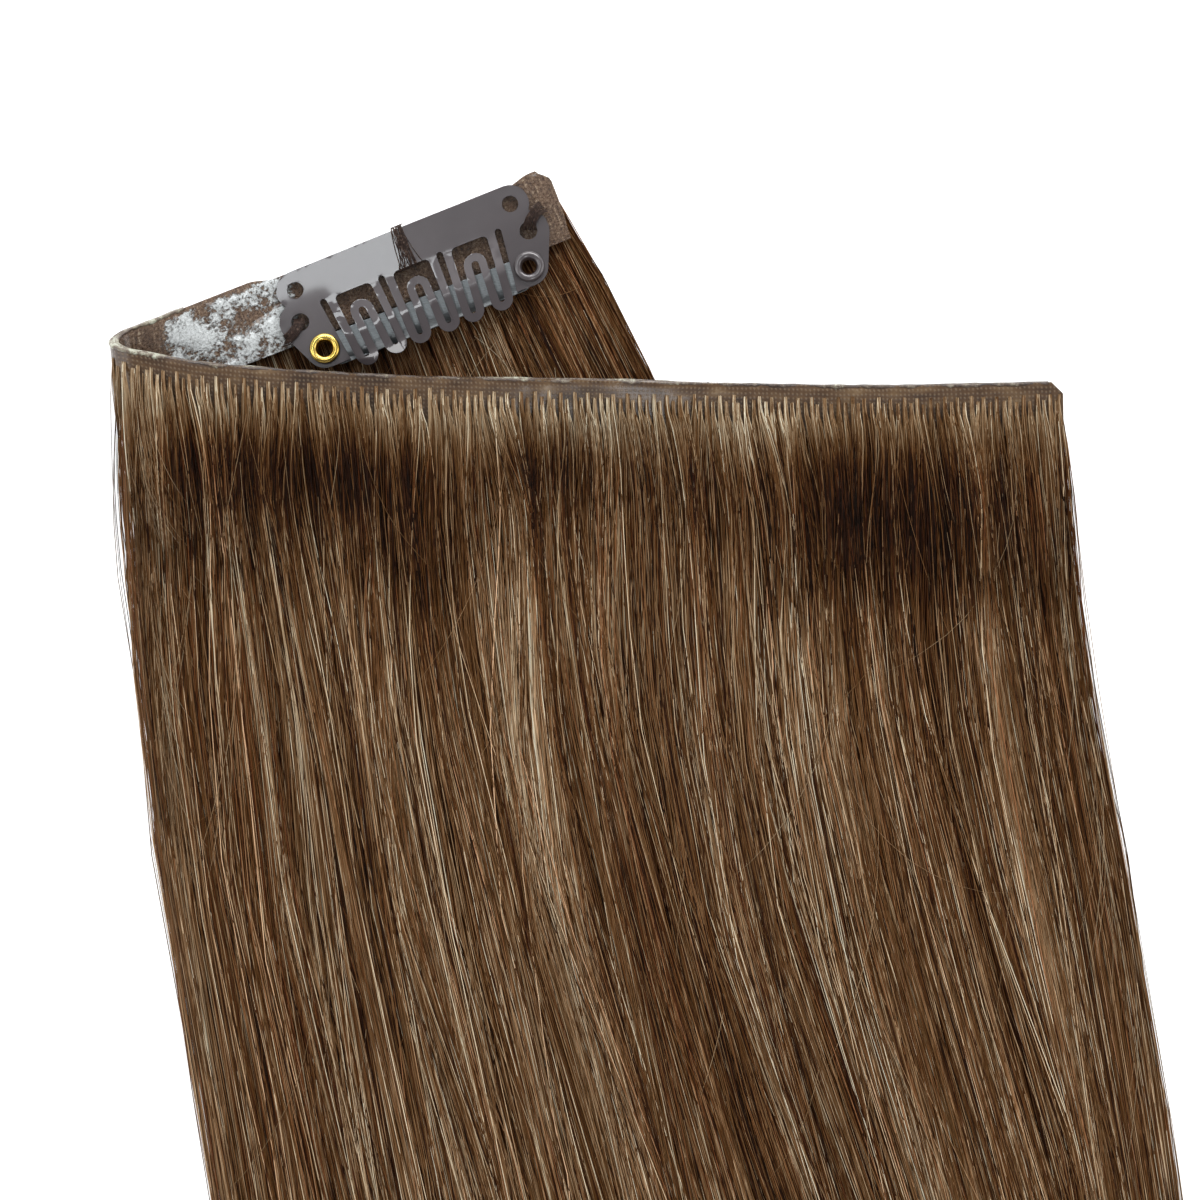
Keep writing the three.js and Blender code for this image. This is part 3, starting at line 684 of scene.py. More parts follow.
def rim_line(start, stop, side):
    """A crusty bead along the band's top edge, white where glue has come through."""
    line = []
    count = int((stop - start) / RIM_STEP)
    for i in range(count + 1):
        along = start + (stop - start) * i / count
        from_end = BAND_LENGTH - along
        at_fold = ease((from_end - 97) / 5)
        white = max(ease((from_end - 34) / 6) * ease((78 - from_end) / 8) * 0.45, 0.72 * at_fold)
        rough = noise_at(along * 0.45, side, 0.3)
        fine = noise_at(along * 2.3, side, 7.7)
        thick = clamp(0.32 + 0.1 * at_fold + 0.3 * rough + 0.2 * fine, 0.12, 0.75)
        point = (band_surface(along, RIM_IN + RIM_IN * fine)
                 + band_normal(along, RIM_IN) * (side + 0.16 * rough))
        tone = 0.02 + 0.27 * white + 0.3 * rough + 0.2 * fine
        line.append((placed(point), thick, tone))
    return line


rim_start, rim_stop = LOWER_RUN - 6, BAND_LENGTH - 1.6
tubes("band_rim", [rim_line(rim_start, rim_stop, side) for side in (-0.35, 0.0, 0.33)],
      RIM, "band_film", sides=8)


def tree_of(name):
    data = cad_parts[name].data
    return BVHTree.FromPolygons([v.co for v in data.vertices],
                                [tuple(p.vertices) for p in data.polygons])


FRONT_TREE = tree_of("hair_front")
BACK_TREE = tree_of("hair_back")
# Heights in metres: where the rays start, and the lowest that a hair's middle may lie
SKY = 0.05
LOWEST = 0.00012


def struck(tree, x, y, start):
    """Where a vertical ray from a height over or under the table meets a solid, or None."""
    return tree.ray_cast(Vector((x, y, start)), Vector((0, 0, -math.copysign(1, start))))[0]


def top_of(tree, x, y, otherwise):
    """Height of a hair solid's upper side at a place in plan."""
    found = struck(tree, x, y, SKY)
    return found.z if found else otherwise


def front_plan(from_end, distance):
    """Place in plan of the front hair, from its place along the run and its way down."""
    along = clamp(from_end, 0, UPPER_RUN)
    edge = upper_edge(along)
    root_x = edge.x - (from_end - along)
    root_y = edge.y - ROOT_LINE * math.cos(upper_tilt(along))
    at = distance / HAIR_LENGTH
    middle = -UPPER_RUN / 2
    share = 1 - (from_end - SIDE_MARGIN) / FRONT_SPAN
    wave = math.sin(distance / 34 + share * 5) * ease(distance / 60)
    sway = 1.6 * wave * math.sin(math.pi * clamp(share, 0, 1))
    x = middle + (root_x - middle) * curved(SPREAD, at) + HAIR_LENGTH * curved(DRIFT, at) + sway
    return Vector((x, root_y - distance))


FRONT_SPAN = UPPER_RUN + 0.6 * FOLD_RADIUS - SIDE_MARGIN
LOCKS = 15
TIP_NOTCH = 46.0


def front_length(from_end, draw):
    """Length of a strand: pointed locks at the tips."""
    share = 1 - (from_end - SIDE_MARGIN) / FRONT_SPAN
    crest = 0.5 - 0.5 * math.cos(2 * math.pi * share * LOCKS)
    lock = math.floor(clamp(share, 0, 0.9999) * LOCKS)
    vary = 0.5 + 0.5 * math.sin(lock * 2.4 + 0.7)
    full = HAIR_LENGTH - TIP_NOTCH * (1 - crest + 0.45 * vary)
    return full * draw.uniform(0.9, 1.0)


def thinning(share):
    """How much of its thickness a hair still has: it thins over its last fifth."""
    return 1 if share < 0.8 else 1 - 0.7 * (share - 0.8) / 0.2


# Painted shade, taken off the tone of the front hair where it drops away from the light over the
# clips that hold its roots up, as (from the band's right end, way down, half width, half length,
# depth); a depth below nought paints light there instead
PAINTED_SHADE_ZONES = [(86, 10, 15, 5.0, 0.36), (74, 19, 4.5, 10, 0.2), (21, 13, 14, 9, 0.34),
              (59, 8.3, 7, 2.8, 0.2), (38, 13, 5, 7, 0.05), (54, 58, 3.0, 15, 0.16),
              (27, 60, 6.0, 11, 0.12), (64, 36, 3.0, 16, -0.1), (12, 66, 6.0, 12, -0.08),
              (44, 1.5, 26, 3.0, -0.07)]


def painted_shade(from_end, distance):
    total = 0
    for centre, down, half_width, half_length, depth in PAINTED_SHADE_ZONES:
        u = (from_end - centre) / half_width
        v = (distance - down) / half_length
        total += depth * math.exp(-(u * u * u * u + v * v))
    return total


# How far the inner locks sweep to the right, and the left edge's hair to the left, in mm
FLOW_DRIFT = 8.5
EDGE_FLARE = 0.45


def flow(lateral, distance):
    """How far the hair's inner locks have swept to the right of its outline, in mm."""
    share = clamp(1 - (lateral - SIDE_MARGIN) / FRONT_SPAN, 0, 1)
    return FLOW_DRIFT * math.sin(math.pi * share) * ease((distance - 28) / 95)


# Share of a hair's length at each of its points, close together where it bends
STEPS = [0, 0.0027, 0.0067, 0.0133, 0.0233, 0.035, 0.047, 0.06, 0.077, 0.103, 0.15, 0.233, 0.35,
         0.5, 0.68, 0.85, 1]


def front_strand(draw, spot, root, final, row, width, tone, lift, slope):
    """One hair: out of its tuft, over the band, then down with its neighbours."""
    station = BAND_LENGTH - max(spot + 0.55 * (root - spot), 0.3)
    above = ROOT_LINE - TUFT_START + row
    spring = band_surface(station, above) + band_normal(station, above) * 0.52
    start = placed(spring)
    settle = draw.uniform(9, 55)
    skew = 0.1 * noise_at(spot * 3.1, 0.4, 6.6) + draw.gauss(0, 0.03)
    warm = clamp(draw.gauss(0.5, 0.25), 0, 1)
    phase = draw.uniform(0, 6.28)
    period = draw.uniform(14, 40)
    wander = draw.uniform(0.08, 0.6)
    length = front_length(clamp(final, 0.5, FRONT_SPAN), draw)
    line = []
    height = start.z
    for k, share in enumerate(STEPS):
        distance = length * share
        sprung = spot + (root - spot) * (0.5 + 0.5 * ease(distance / 2.4)) + skew * distance
        lateral = lerp(sprung, final, ease((distance - 1) / settle))
        bunch = (2.2 * noise_at(final * 0.14, distance * 0.02, 7.7)
                 + 1.7 * noise_at(final * 0.4, distance * 0.015, 3.1)
                 + 0.6 * noise_at(final * 1.3, distance * 0.025, 8.4))
        bunch *= ease(min(final, FRONT_SPAN - final) / 9)
        ripple = wander * math.sin(distance / period * 2 + phase)
        lateral += (bunch + ripple) * ease(distance / 14) + slope * min(distance, 110)
        plan = front_plan(lateral, distance)
        sideways = flow(lateral, distance) - EDGE_FLARE * (
            ease((final - UPPER_RUN + 14) / 14) * ease((distance - 2) / 40))
        x, y = placed((plan.x + sideways, plan.y, 0)).xy
        near = ease(distance / 4)
        x = lerp(start.x, x, near)
        y = lerp(start.y - distance * MM * 0.96, y, near)
        if k == 0:
            x, y, z = start
        else:
            top = top_of(FRONT_TREE, x, y, max(height - 0.0002, 0.0006))
            height = top
            rise = ease(distance / 2.2)
            z = lerp(start.z, top - lift * MM, rise)
        # Painted shade from the zones above, and painted light where their depth is below nought
        shade = painted_shade(lateral, distance)
        wisp = noise_at(lateral * 0.9, distance * 0.02, 2.5)
        wide = (noise_at(lateral * 0.25, distance * 0.03, 5.5)
                + noise_at(lateral * 0.11, distance * 0.02, 1.5))
        # Painted highlight: the roots are lighter and their tones pulled towards a light middle
        # tone (own); the hair is also a little lighter beyond 16 mm down, and wisp and wide are its
        # own lighter and darker streaks
        at_root = 1 - ease((distance - 3.5) / 4.5)
        highlight_and_streaks = 0.1 * at_root + 0.04 * ease((distance - 16) / 10) + 0.12 * wisp + 0.08 * wide
        own = lerp(tone, 0.57 + 0.5 * (tone - 0.45), 0.75 * at_root)
        root_end = 0.6 if k == 0 else 1
        line.append((Vector((x, y, max(z, LOWEST))), width * thinning(share) * root_end,
                     clamp(own - shade + highlight_and_streaks, 0.02, 1), warm * (1 - 0.6 * at_root)))
    return line


# The tufts stand in two rows; a hair is drawn a little coarser than the real 0.07 mm
TUFT_PITCH = 1.48
TUFT_ROW_STEP = 0.62
TUFT_START = 0.45
FINE_HAIR = 0.105


def hair_tone(draw, place):
    """Colour of one hair, from dark to blond, in a mixed brown."""
    pick = draw.random()
    if pick < 0.2:
        tone = draw.uniform(0.05, 0.25)
    elif pick < 0.34:
        tone = draw.uniform(0.66, 0.96)
    else:
        tone = draw.gauss(0.48, 0.11)
    return tone - 0.03 + 0.14 * noise_at(place * 0.35, 2.2, 0.6)


FRONT_EDGE = UPPER_RUN + 1.6


def front_strands(count, seed):
    draw = random.Random(seed)
    lines = []
    for _ in range(count):
        final = draw.uniform(0.0, FRONT_EDGE)
        if draw.random() < 0.025:
            final = FRONT_EDGE - abs(draw.gauss(0, 1.1))
        row = draw.choice((0, 1))
        tuft = round((final + draw.gauss(0, 0.5)) / TUFT_PITCH - 0.5 * row) + 0.5 * row
        uneven = noise_at(tuft * 1.7, row, 6.6)
        spot = clamp(tuft * TUFT_PITCH + 0.25 * uneven, SIDE_MARGIN, UPPER_RUN + 3.2)
        root = spot + draw.uniform(-0.34, 0.34)
        width = FINE_HAIR * draw.uniform(0.65, 1.3)
        lift = draw.triangular(-0.08, 0.62, 0.0)
        drop = TUFT_ROW_STEP * row + 0.3 * uneven + draw.uniform(-0.12, 0.12)
        # Painted shade: a hair that lies deeper in the mass is darker
        tone = hair_tone(draw, final) - 0.25 * max(lift, 0)
        slope = draw.gauss(0, 0.05) if draw.random() < 0.3 else draw.gauss(0, 0.01)
        middle = UPPER_RUN / 2
        outward = ease((abs(final - middle) - middle + 14) / 12)
        if slope * (final - middle) > 0:
            slope *= 1 - 0.93 * outward
        lines.append(front_strand(draw, spot, root, final, drop, width, tone, lift, slope))
    return lines


STRANDS_IN_A_PIECE = 2000
for letter, seed in (("a", 11), ("b", 23), ("c", 37)):
    tubes("hair_front_strands_" + letter, front_strands(STRANDS_IN_A_PIECE, seed), HAIR, "hair")


def lower_plan(from_free, distance):
    """Place in plan of the back hair, from its place along the lower run and its way down."""
    root = band_surface(from_free, ROOT_LINE)
    fan = LOWER_FAN * (1 - ease(from_free / (0.6 * LOWER_RUN)))
    start = math.radians(LOWER_ANGLE - 90 + fan)
    bend = -math.radians(LOWER_TURN + fan) / LOWER_TURN_LENGTH
    arc = min(distance, LOWER_TURN_LENGTH)
    straight = max(distance - LOWER_TURN_LENGTH, 0)
    end = start + bend * arc
    return Vector((root.x + (math.sin(end) - math.sin(start)) / bend + math.cos(end) * straight,
                   root.y - (math.cos(end) - math.cos(start)) / bend + math.sin(end) * straight))


def back_strands(count, seed):
    """Hair of the lower run, which comes out from under the band."""
    draw = random.Random(seed)
    span = LOWER_RUN - LOWER_HAIR_START - SIDE_MARGIN
    lines = []
    for _ in range(count):
        final = SIDE_MARGIN + draw.uniform(0, span)
        width = FINE_HAIR * draw.uniform(0.75, 1.25)
        lift = draw.triangular(-0.05, 0.5, 0.0)
        # Painted shade: a hair that lies deeper in the mass is darker
        tone = hair_tone(draw, final + 50) - 0.1 * max(lift, 0)
        length = (HAIR_LENGTH - ROOT_LINE) * draw.uniform(0.82, 0.97)
        phase, period = draw.uniform(0, 6.28), draw.uniform(12, 40)
        wander = draw.uniform(0.05, 0.4)
        slope = draw.gauss(0, 0.05) if draw.random() < 0.3 else draw.gauss(0, 0.01)
        warm = clamp(draw.gauss(0.6, 0.25), 0, 1)
        line, height = [], 1.2 * MM
        for k in range(13):
            share = k / 12
            distance = length * share ** 1.7
            lateral = (final + (0.9 * noise_at(final * 0.6, distance * 0.015, 9.1)
                                + wander * math.sin(distance / period * 2 + phase))
                       * ease(distance / 14)) + slope * min(distance, 60)
            plan = lower_plan(clamp(lateral, 0.05, LOWER_RUN), distance)
            x, y = placed((plan.x, plan.y, 0)).xy
            top = top_of(BACK_TREE, x, y, max(height - 0.0001, 0.0004))
            height = top
            line.append((Vector((x, y, max(top - lift * MM, LOWEST))), width * thinning(share),
                         clamp(tone, 0.02, 1), warm))
        lines.append(line)
    return lines


tubes("hair_back_strands", back_strands(STRANDS_IN_A_PIECE, 51), HAIR, "hair")


def loose_hair(draw, tree, x, y, heading, length, curl, thick, tone):
    """A stray hair that lies on what is under it; curl is in degrees for each mm."""
    line = []
    step = length / 11
    angle = math.radians(heading)
    height = 0.3 * MM
    warm = draw.uniform(0, 0.7)
    for k in range(12):
        found = struck(tree, x, y, SKY)
        height = max(found.z + 0.12 * MM if found else height - 0.5 * MM, 0.15 * MM)
        taper = 1 if k < 9 else 1 - 0.3 * (k - 8)
        line.append((Vector((x, y, height)), thick * max(taper, 0.2), tone, warm))
        angle += math.radians(curl * step * draw.uniform(0.5, 1.5))
        x += math.cos(angle) * step * MM
        y += math.sin(angle) * step * MM
    return line


def front_spot(from_end, distance):
    plan = front_plan(from_end, distance)
    return placed((plan.x, plan.y, 0)).xy


def loose_hairs(seed):
    """Flyaways at both edges, broken hairs across the fall and a few over the back hair."""
    draw = random.Random(seed)
    lines = []
    for _ in range(60):
        x, y = front_spot(UPPER_RUN + draw.uniform(-1.2, 0.3), 44 * draw.random() ** 1.5)
        lines.append(loose_hair(draw, FRONT_TREE, x, y, draw.uniform(-98, -86),
                                draw.uniform(6, 20), draw.uniform(0.6, 2.6), 0.06,
                                draw.uniform(0.4, 0.85)))
    for _ in range(30):
        x, y = front_spot(draw.uniform(0.8, 2.4), draw.uniform(2, 70))
        lines.append(loose_hair(draw, FRONT_TREE, x, y, draw.uniform(-86, -77),
                                draw.uniform(8, 22), draw.uniform(-1.8, -0.2), 0.06,
                                draw.uniform(0.4, 0.85)))
    for _ in range(230):
        x, y = front_spot(draw.uniform(4, UPPER_RUN - 2), 3 + 240 * draw.random() ** 1.6)
        lines.append(loose_hair(draw, FRONT_TREE, x, y, draw.gauss(-85, 8),
                                draw.uniform(9, 34), draw.gauss(0, 1.1), 0.065,
                                draw.uniform(0.4, 0.76)))
    for _ in range(46):
        plan = lower_plan(draw.uniform(3, 34), draw.uniform(9, 26))
        x, y = placed((plan.x, plan.y, 0)).xy
        lines.append(loose_hair(draw, BACK_TREE, x, y, draw.uniform(-150, -20),
                                draw.uniform(6, 16), draw.gauss(0, 4), 0.07,
                                draw.uniform(0.5, 0.95)))
    return lines


tubes("hair_loose", loose_hairs(91), HAIR, "hair")


def merged_copy(name):
    """A CAD node's shape with its doubles merged, ready for shaping."""
    mesh = bmesh.new()
    mesh.from_mesh(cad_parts[name].data)
    bmesh.ops.remove_doubles(mesh, verts=mesh.verts, dist=1e-6)
    return mesh


def hair_mass(node_name, piece_name, tree, sink):
    """The closed mass under the strands: the solid's form, a little lower."""
    mesh = merged_copy(node_name)
    bmesh.ops.subdivide_edges(mesh, edges=mesh.edges, cuts=1, use_grid_fill=True)
    for vertex in mesh.verts:
        x, y, z = vertex.co
        top = struck(tree, x, y, SKY)
        below = struck(tree, x, y, -SKY)
        sunk, lowered, moved = sink(vertex.co)
        if top and below and top.z - below.z > 0.05 * MM:
            share = (z - below.z) / (top.z - below.z)
            roof = max(top.z - sunk * MM, below.z + 0.04 * MM)
            vertex.co.z = max(lerp(below.z, roof, share) - lowered * MM, min(z, 0.02 * MM))
        else:
            vertex.co.z = max(z - (sunk + lowered) * MM, min(z, 0.02 * MM))
        vertex.co.y -= moved * MM
    for face in mesh.faces:
        face.smooth = True
    return finished(piece_name, baked(mesh, piece_name), HAIR_MASS, "hair", node_name)


def front_sink(place):
    """How far the mass's top sinks, and how far its start lies lower and further down."""
    x, y = place.x / MM - SHIFT.x, place.y / MM - SHIFT.y
    along = clamp(-x, 0, UPPER_RUN)
    distance = upper_edge(along).y - ROOT_LINE - y
    start = 1 - ease(distance / 6)
    moved = 2.6 * start
    lowered = 0.45 * start + moved * math.tan(upper_tilt(along))
    return 0.75 + 1.2 * (1 - ease(distance / 9)), lowered, moved


hair_mass("hair_front", "hair_front_mass", FRONT_TREE, front_sink)
hair_mass("hair_back", "hair_back_mass", BACK_TREE, lambda place: (0.4, 0, 0))


def steel_piece(node_name, piece_name, material, slot, edge):
    """A stamped part from its solid, with its burrs rolled off and its faces flat."""
    mesh = merged_copy(node_name)
    bmesh.ops.dissolve_limit(mesh, angle_limit=math.radians(0.5), verts=mesh.verts,
                             edges=mesh.edges)
    for face in mesh.faces:
        face.smooth = True
    draft = bpy.data.objects.new(piece_name + "_draft", baked(mesh, piece_name))
    scene.collection.objects.link(draft)
    bevel = draft.modifiers.new("edges", "BEVEL")
    bevel.limit_method = "ANGLE"
    bevel.angle_limit = math.radians(50)
    bevel.width = edge * MM
    bevel.segments = 2
    flat = draft.modifiers.new("flat_faces", "WEIGHTED_NORMAL")
    flat.weight = 100
    graph = bpy.context.evaluated_depsgraph_get()
    result = bpy.data.meshes.new_from_object(draft.evaluated_get(graph))
    bpy.data.objects.remove(draft)
    result.name = piece_name
    return finished(piece_name, result, material, slot, node_name)


# The comb clip's own frame: x along the bar, -y towards the tips, z up from the plate
CLIP_FROM_END = 18.3
CLIP_INSET = 0.5
CLIP_ANGLE = LOWER_ANGLE + 0.6
CLIP_TILT = 5.0
clip_origin = band_surface(CLIP_FROM_END, CLIP_INSET)
CLIP = (Matrix.Translation(placed((clip_origin.x, clip_origin.y, LOWER_TOP + 0.25)))
        @ Matrix.Rotation(math.radians(CLIP_ANGLE), 4, "Z")
        @ Matrix.Rotation(-math.radians(CLIP_TILT), 4, "X")
        @ Matrix.Scale(MM, 4))
CLIP_BACK = CLIP.inverted()


def on_clip(x, y, z):
    return CLIP @ Vector((x, y, z))


# The plate's sizes in mm, seen flat, then its bends
SLOT_TOP = 4.2
SLOT_WIDTH = 0.78
SLOT_ROOT = 10.545
SLOT_LEAN = 0.112
PLATE_REACH = 13.1
EAR_END = 10.05
TOOTH_ARCH = 0.9
PLATE_THICKNESS = 0.5
PLATE_BOW = 0.021
EAR_DROP = 0.04
TIP_DIP = 0.26
PLATE_LIFT = 0.12
ROOT_CURVE = 1.0
CREST = 0.4
CREST_DROP = 0.09
TIP_SLOPE = 0.157


def tooth_arch(down):
    """Height of a tooth over the bar, this far down from its root: straight up to a short
    crest over the clamp strip, then straight down to the tip."""
    half = (PLATE_REACH + 1 - SLOT_TOP) / 2
    slope = TOOTH_ARCH / (half - ROOT_CURVE / 2)
    if down < ROOT_CURVE:
        return slope * down * down / (2 * ROOT_CURVE)
    line = slope * (down - ROOT_CURVE / 2)
    if down >= half:
        line = TOOTH_ARCH - TIP_SLOPE * (down - half)
    near = clamp(1 - abs(down - half) / CREST, 0, 1)
    return line - CREST_DROP * CREST * near * near


def plate_height(x, y):
    """Height of the plate's under side: the teeth arch over the bar and dip at the tips, the
    plate bows a little at its middle thread, and the ears bend down to the rivets."""
    slot = SLOT_ROOT - SLOT_LEAN * (-y - SLOT_TOP - SLOT_WIDTH / 2)
    on_teeth = 1 - ease((abs(x) - slot + 0.15) / 0.3)
    arch = tooth_arch(clamp(-y - SLOT_TOP, 0, PLATE_REACH + 1 - SLOT_TOP))
    ear = ease((abs(x) - EAR_END + 1.6) / 2.4) * EAR_DROP * max(-y - 2.0, 0) ** 2 / (-y + 1.0)
    tip = TIP_DIP * max(-y - PLATE_REACH + 1.5, 0) ** 1.3 * (1 - ease((x + 3.6) / 0.8))
    return arch * on_teeth + PLATE_LIFT - PLATE_BOW * abs(x) - ear - tip


def plate_normal(x, y):
    step = 0.05
    along = (plate_height(x + step, y) - plate_height(x - step, y)) / (2 * step)
    down = (plate_height(x, y + step) - plate_height(x, y - step)) / (2 * step)
    return (CLIP.to_3x3() @ Vector((-along, -down, 1))).normalized()


def stamped_plate():
    """The comb plate: laid flat, cut into cells, bent to its own curve, with that curve's
    normals."""
    mesh = merged_copy("comb_plate")
    above = (CLIP.to_3x3() @ Vector((0, 0, 1))).normalized()
    upper = [any(face.normal.dot(above) > 0.4 for face in vertex.link_faces)
             for vertex in mesh.verts]
    for vertex, on_top in zip(mesh.verts, upper):
        x, y, _ = CLIP_BACK @ vertex.co
        vertex.co = on_clip(x, y, PLATE_THICKNESS * on_top)
    lines = [((k, 0, 0), (1, 0, 0)) for k in range(-16, 17)]
    lines += [((0, -0.5 - 0.7 * k, 0), (0, 1, 0)) for k in range(19)]
    lines += [((side * 0.12, 0, 0), (1, 0, 0)) for side in (-1, 1)]
    for middle, across in lines:
        cut = bmesh.ops.bisect_plane(
            mesh, geom=[*mesh.verts, *mesh.edges, *mesh.faces], dist=1e-7,
            plane_co=on_clip(*middle), plane_no=CLIP.to_3x3() @ Vector(across))
        for item in cut["geom_cut"]:
            if isinstance(item, bmesh.types.BMEdge):
                item.seam = True
    bmesh.ops.dissolve_limit(mesh, angle_limit=math.radians(1), verts=[], edges=mesh.edges,
                             delimit={"SEAM"})
    mesh.normal_update()
    walls = {face for face in mesh.faces if abs(face.normal.dot(above)) < 0.4}
    rims = [edge for edge in mesh.edges
            if len(edge.link_faces) == 2 and sum(face in walls for face in edge.link_faces) == 1]
    for vertex in mesh.verts:
        x, y, z = CLIP_BACK @ vertex.co
        vertex.co = on_clip(x, y, plate_height(x, y) + z)
    bmesh.ops.bevel(mesh, geom=rims, offset=0.08 * MM, segments=2, profile=0.5,
                    affect="EDGES", clamp_overlap=True)
    for face in mesh.faces:
        face.smooth = True
    data = baked(mesh, "comb_plate_stamped")
    normals = []
    for vertex in data.vertices:
        x, y, z = CLIP_BACK @ vertex.co
        level = (z - plate_height(x, y)) / PLATE_THICKNESS
        if abs(level - 1) < 0.04:
            normals.append(plate_normal(x, y))
        elif abs(level) < 0.04:
            normals.append(-plate_normal(x, y))
        else:
            normals.append(vertex.normal)
    data.normals_split_custom_set_from_vertices(normals)
    return finished("comb_plate_stamped", data, PAINT, "painted_spring_steel", "comb_plate")


stamped_plate()
steel_piece("clamp_bar", "clamp_bar_strip", PLATING, "plated_steel", 0.06)
for name in ("hidden_clip_end", "hidden_clip_middle"):
    steel_piece(name, name + "_comb", PAINT, "painted_spring_steel", 0.15)

RIVET = Vector((12.35, -9.5))


def eyelet(node_name, piece_name, side, material, slot):
    """A drawn eyelet: rolled flange over the ear, tube through it, small foot below."""
    profile = [(0.9, -0.9), (1.27, -0.9), (1.27, -0.75), (1.12, -0.75), (1.12, 0.55)]
    for k in range(9):
        angle = math.pi * k / 8
        profile.append((1.31 + 0.39 * math.cos(angle), 0.58 + 0.34 * math.sin(angle)))
    profile += [(0.86, 0.35), (0.8, 0.0), (0.78, -0.4)]
    mesh = bmesh.new()
    steps = 48
    rings = []
    for k in range(steps):
        direction = Vector((math.cos(2 * math.pi * k / steps), math.sin(2 * math.pi * k / steps)))
        rings.append([mesh.verts.new(on_clip(side * RIVET.x + direction.x * r,
                                             RIVET.y + direction.y * r, z))
                      for r, z in profile])
    count = len(profile)
    for k in range(steps):
        a, b = rings[k], rings[(k + 1) % steps]
        for i in range(count):
            made = mesh.faces.new([a[i], a[(i + 1) % count], b[(i + 1) % count], b[i]])
            made.smooth = True
    bmesh.ops.recalc_face_normals(mesh, faces=mesh.faces)
    data = baked(mesh, piece_name)
    data.set_sharp_from_angle(angle=math.radians(60))
    return finished(piece_name, data, material, slot, node_name)


eyelet("eyelet_left", "eyelet_brass", -1, BRASS, "brass")
eyelet("eyelet_right", "eyelet_painted", 1, PAINT, "painted_spring_steel")


def thread_bundle(draw, path, width, count, thick):
    """Turns of thread side by side along a path of (x, y, z) on the clip."""
    lines = []
    for turn_number in range(count):
        across = width * ((turn_number + 0.5) / count - 0.5) + draw.uniform(-0.08, 0.08)
        line = []
        for k, (x, y, z) in enumerate(path):
            following = path[min(k + 1, len(path) - 1)]
            before = path[max(k - 1, 0)]
            heading = Vector((following[0] - before[0], following[1] - before[1]))
            beside = Vector((-heading.y, heading.x)).normalized()
            shift = beside * across * (1 - 0.25 * math.sin(math.pi * k / (len(path) - 1)))
            wobble = draw.uniform(-0.05, 0.05)
            line.append((on_clip(x + shift.x + wobble, y + shift.y, z + draw.uniform(-0.04, 0.08)),
                         thick * draw.uniform(0.85, 1.15), 0.3))
        lines.append(line)
    return lines


def centre_turns(draw, count):
    """Thread laid by hand over the bar, each turn at its own slant, down into a window."""
    lines = []
    for _ in range(count):
        top = draw.gauss(0.3, 0.42)
        bottom = draw.gauss(-0.1, 1.0) + 0.2 * top
        rise = draw.uniform(0.62, 0.85)
        way = [(0.4, -0.25), (0.32, 0.4), (-0.05, rise), (-1.3, rise + 0.04), (-2.6, rise),
               (-3.8, rise), (-4.4, rise - 0.1), (-4.62, 0.2), (-4.5, -0.25)]
        line = []
        for k, (y, z) in enumerate(way):
            x = lerp(top, bottom, k / (len(way) - 1)) + draw.uniform(-0.06, 0.06)
            line.append((on_clip(x, y, z), 0.11 * draw.uniform(0.8, 1.2), 0.3))
        lines.append(line)
    return lines


draw = random.Random(77)
wraps = centre_turns(draw, 26)
wraps += thread_bundle(draw, [(-13.8, -5.2, -0.25), (-13.9, -5.6, 0.3), (-14.3, -6.1, 0.68),
                              (-15.2, -6.7, 0.7), (-16.0, -7.0, 0.45), (-16.1, -6.9, -0.25)],
                       1.5, 12, 0.13)
wraps += thread_bundle(draw, [(13.9, -5.6, -0.25), (14.0, -5.3, 0.3), (14.5, -4.7, 0.68),
                              (15.3, -4.1, 0.75), (16.0, -3.8, 0.5), (16.3, -3.7, -0.25)],
                       1.6, 13, 0.13)
tubes("clip_threads", wraps, THREAD, "hair", sides=6)


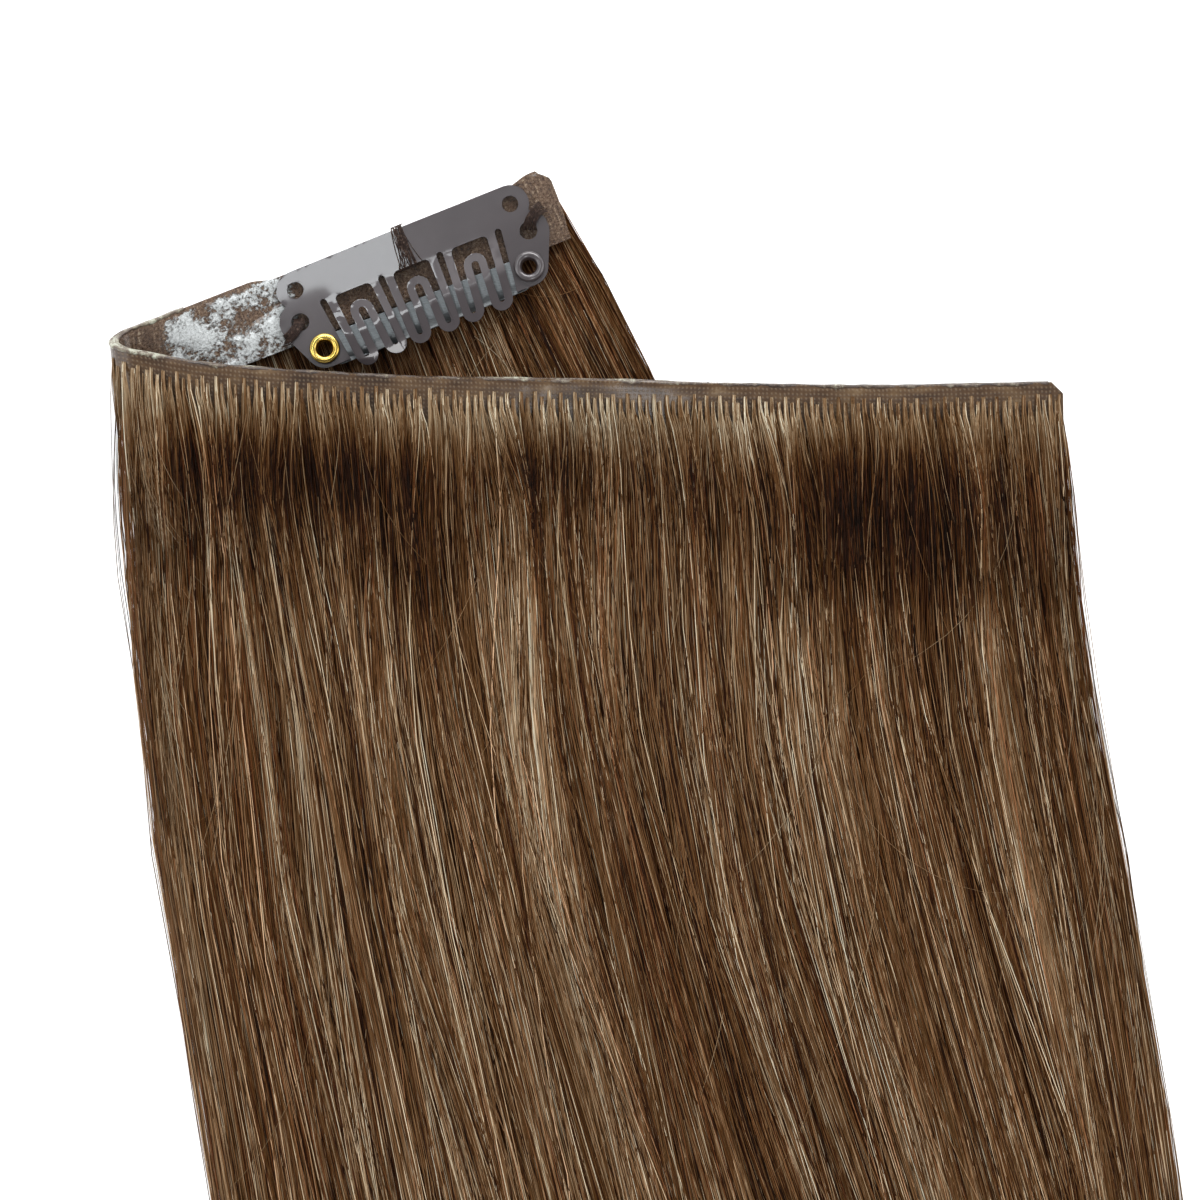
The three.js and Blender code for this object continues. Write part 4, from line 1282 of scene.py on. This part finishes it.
def light(name, place, target, width, height, radiance, colour=(1, 1, 1)):
    """A soft panel that shows in reflections but not to the camera."""
    panel = bpy.data.lights.new(name, "AREA")
    panel.shape = "RECTANGLE"
    panel.size = width
    panel.size_y = height
    panel.energy = radiance * math.pi * width * height
    panel.color = colour
    lamp = bpy.data.objects.new(name, panel)
    scene.collection.objects.link(lamp)
    lamp.location = place
    lamp.rotation_euler = (Vector(target) - Vector(place)).to_track_quat("-Z", "Y").to_euler()
    lamp.visible_camera = False


light("key_from_the_back", (0.1, 1.35, 0.86), (0, 0.1, 0), 1.4, 0.7, 8.6)
light("strip_over_the_clip", (-0.272, 0.46, 1.15), (-0.272, 0.46, 0), 0.27, 0.26, 7.3,
      (0.93, 0.98, 1.0))
light("low_strip_in_front", (0.2, -0.59, 0.95), (-0.035, 0.14, 0), 0.26, 0.3, 7.0)
light("fill_from_the_left", (-1.2, -0.1, 0.9), (0, 0, 0), 0.7, 1.2, 2.0)
light("fill_from_the_right", (1.3, 0.0, 0.8), (0, 0, 0), 0.7, 1.2, 1.5)

world = bpy.data.worlds.new("studio")
scene.world = world
world.use_nodes = True
air = world.node_tree
air.nodes.clear()
heading = node(air, "ShaderNodeTexCoord")
split = node(air, "ShaderNodeSeparateXYZ", {0: heading.outputs["Generated"]})
dome = node(air, "ShaderNodeValToRGB", {"Fac": split.outputs["Z"]}, stops=[
    (0.0, 1.0), (0.35, 0.85), (0.8, 0.42), (1.0, 0.25)])
sky = node(air, "ShaderNodeBackground", {"Color": dome.outputs["Color"], "Strength": 1.0})
node(air, "ShaderNodeOutputWorld", {"Surface": sky.outputs[0]})

# Table: a plain white sheet
floor_mesh = bpy.data.meshes.new("floor")
floor_mesh.from_pydata([(-3, -3, 0), (3, -3, 0), (3, 3, 0), (-3, 3, 0)], [], [(0, 1, 2, 3)])
floor = bpy.data.objects.new("floor", floor_mesh)
scene.collection.objects.link(floor)
paper, paper_tree = new_material("white_studio_sheet")
surface(paper_tree, Base_Color=srgb("#fbfbfb"), Roughness=0.9,
        Emission_Color=srgb("#ffffff"), Emission_Strength=0.35)
floor_mesh.materials.append(paper)

bpy.context.view_layer.update()
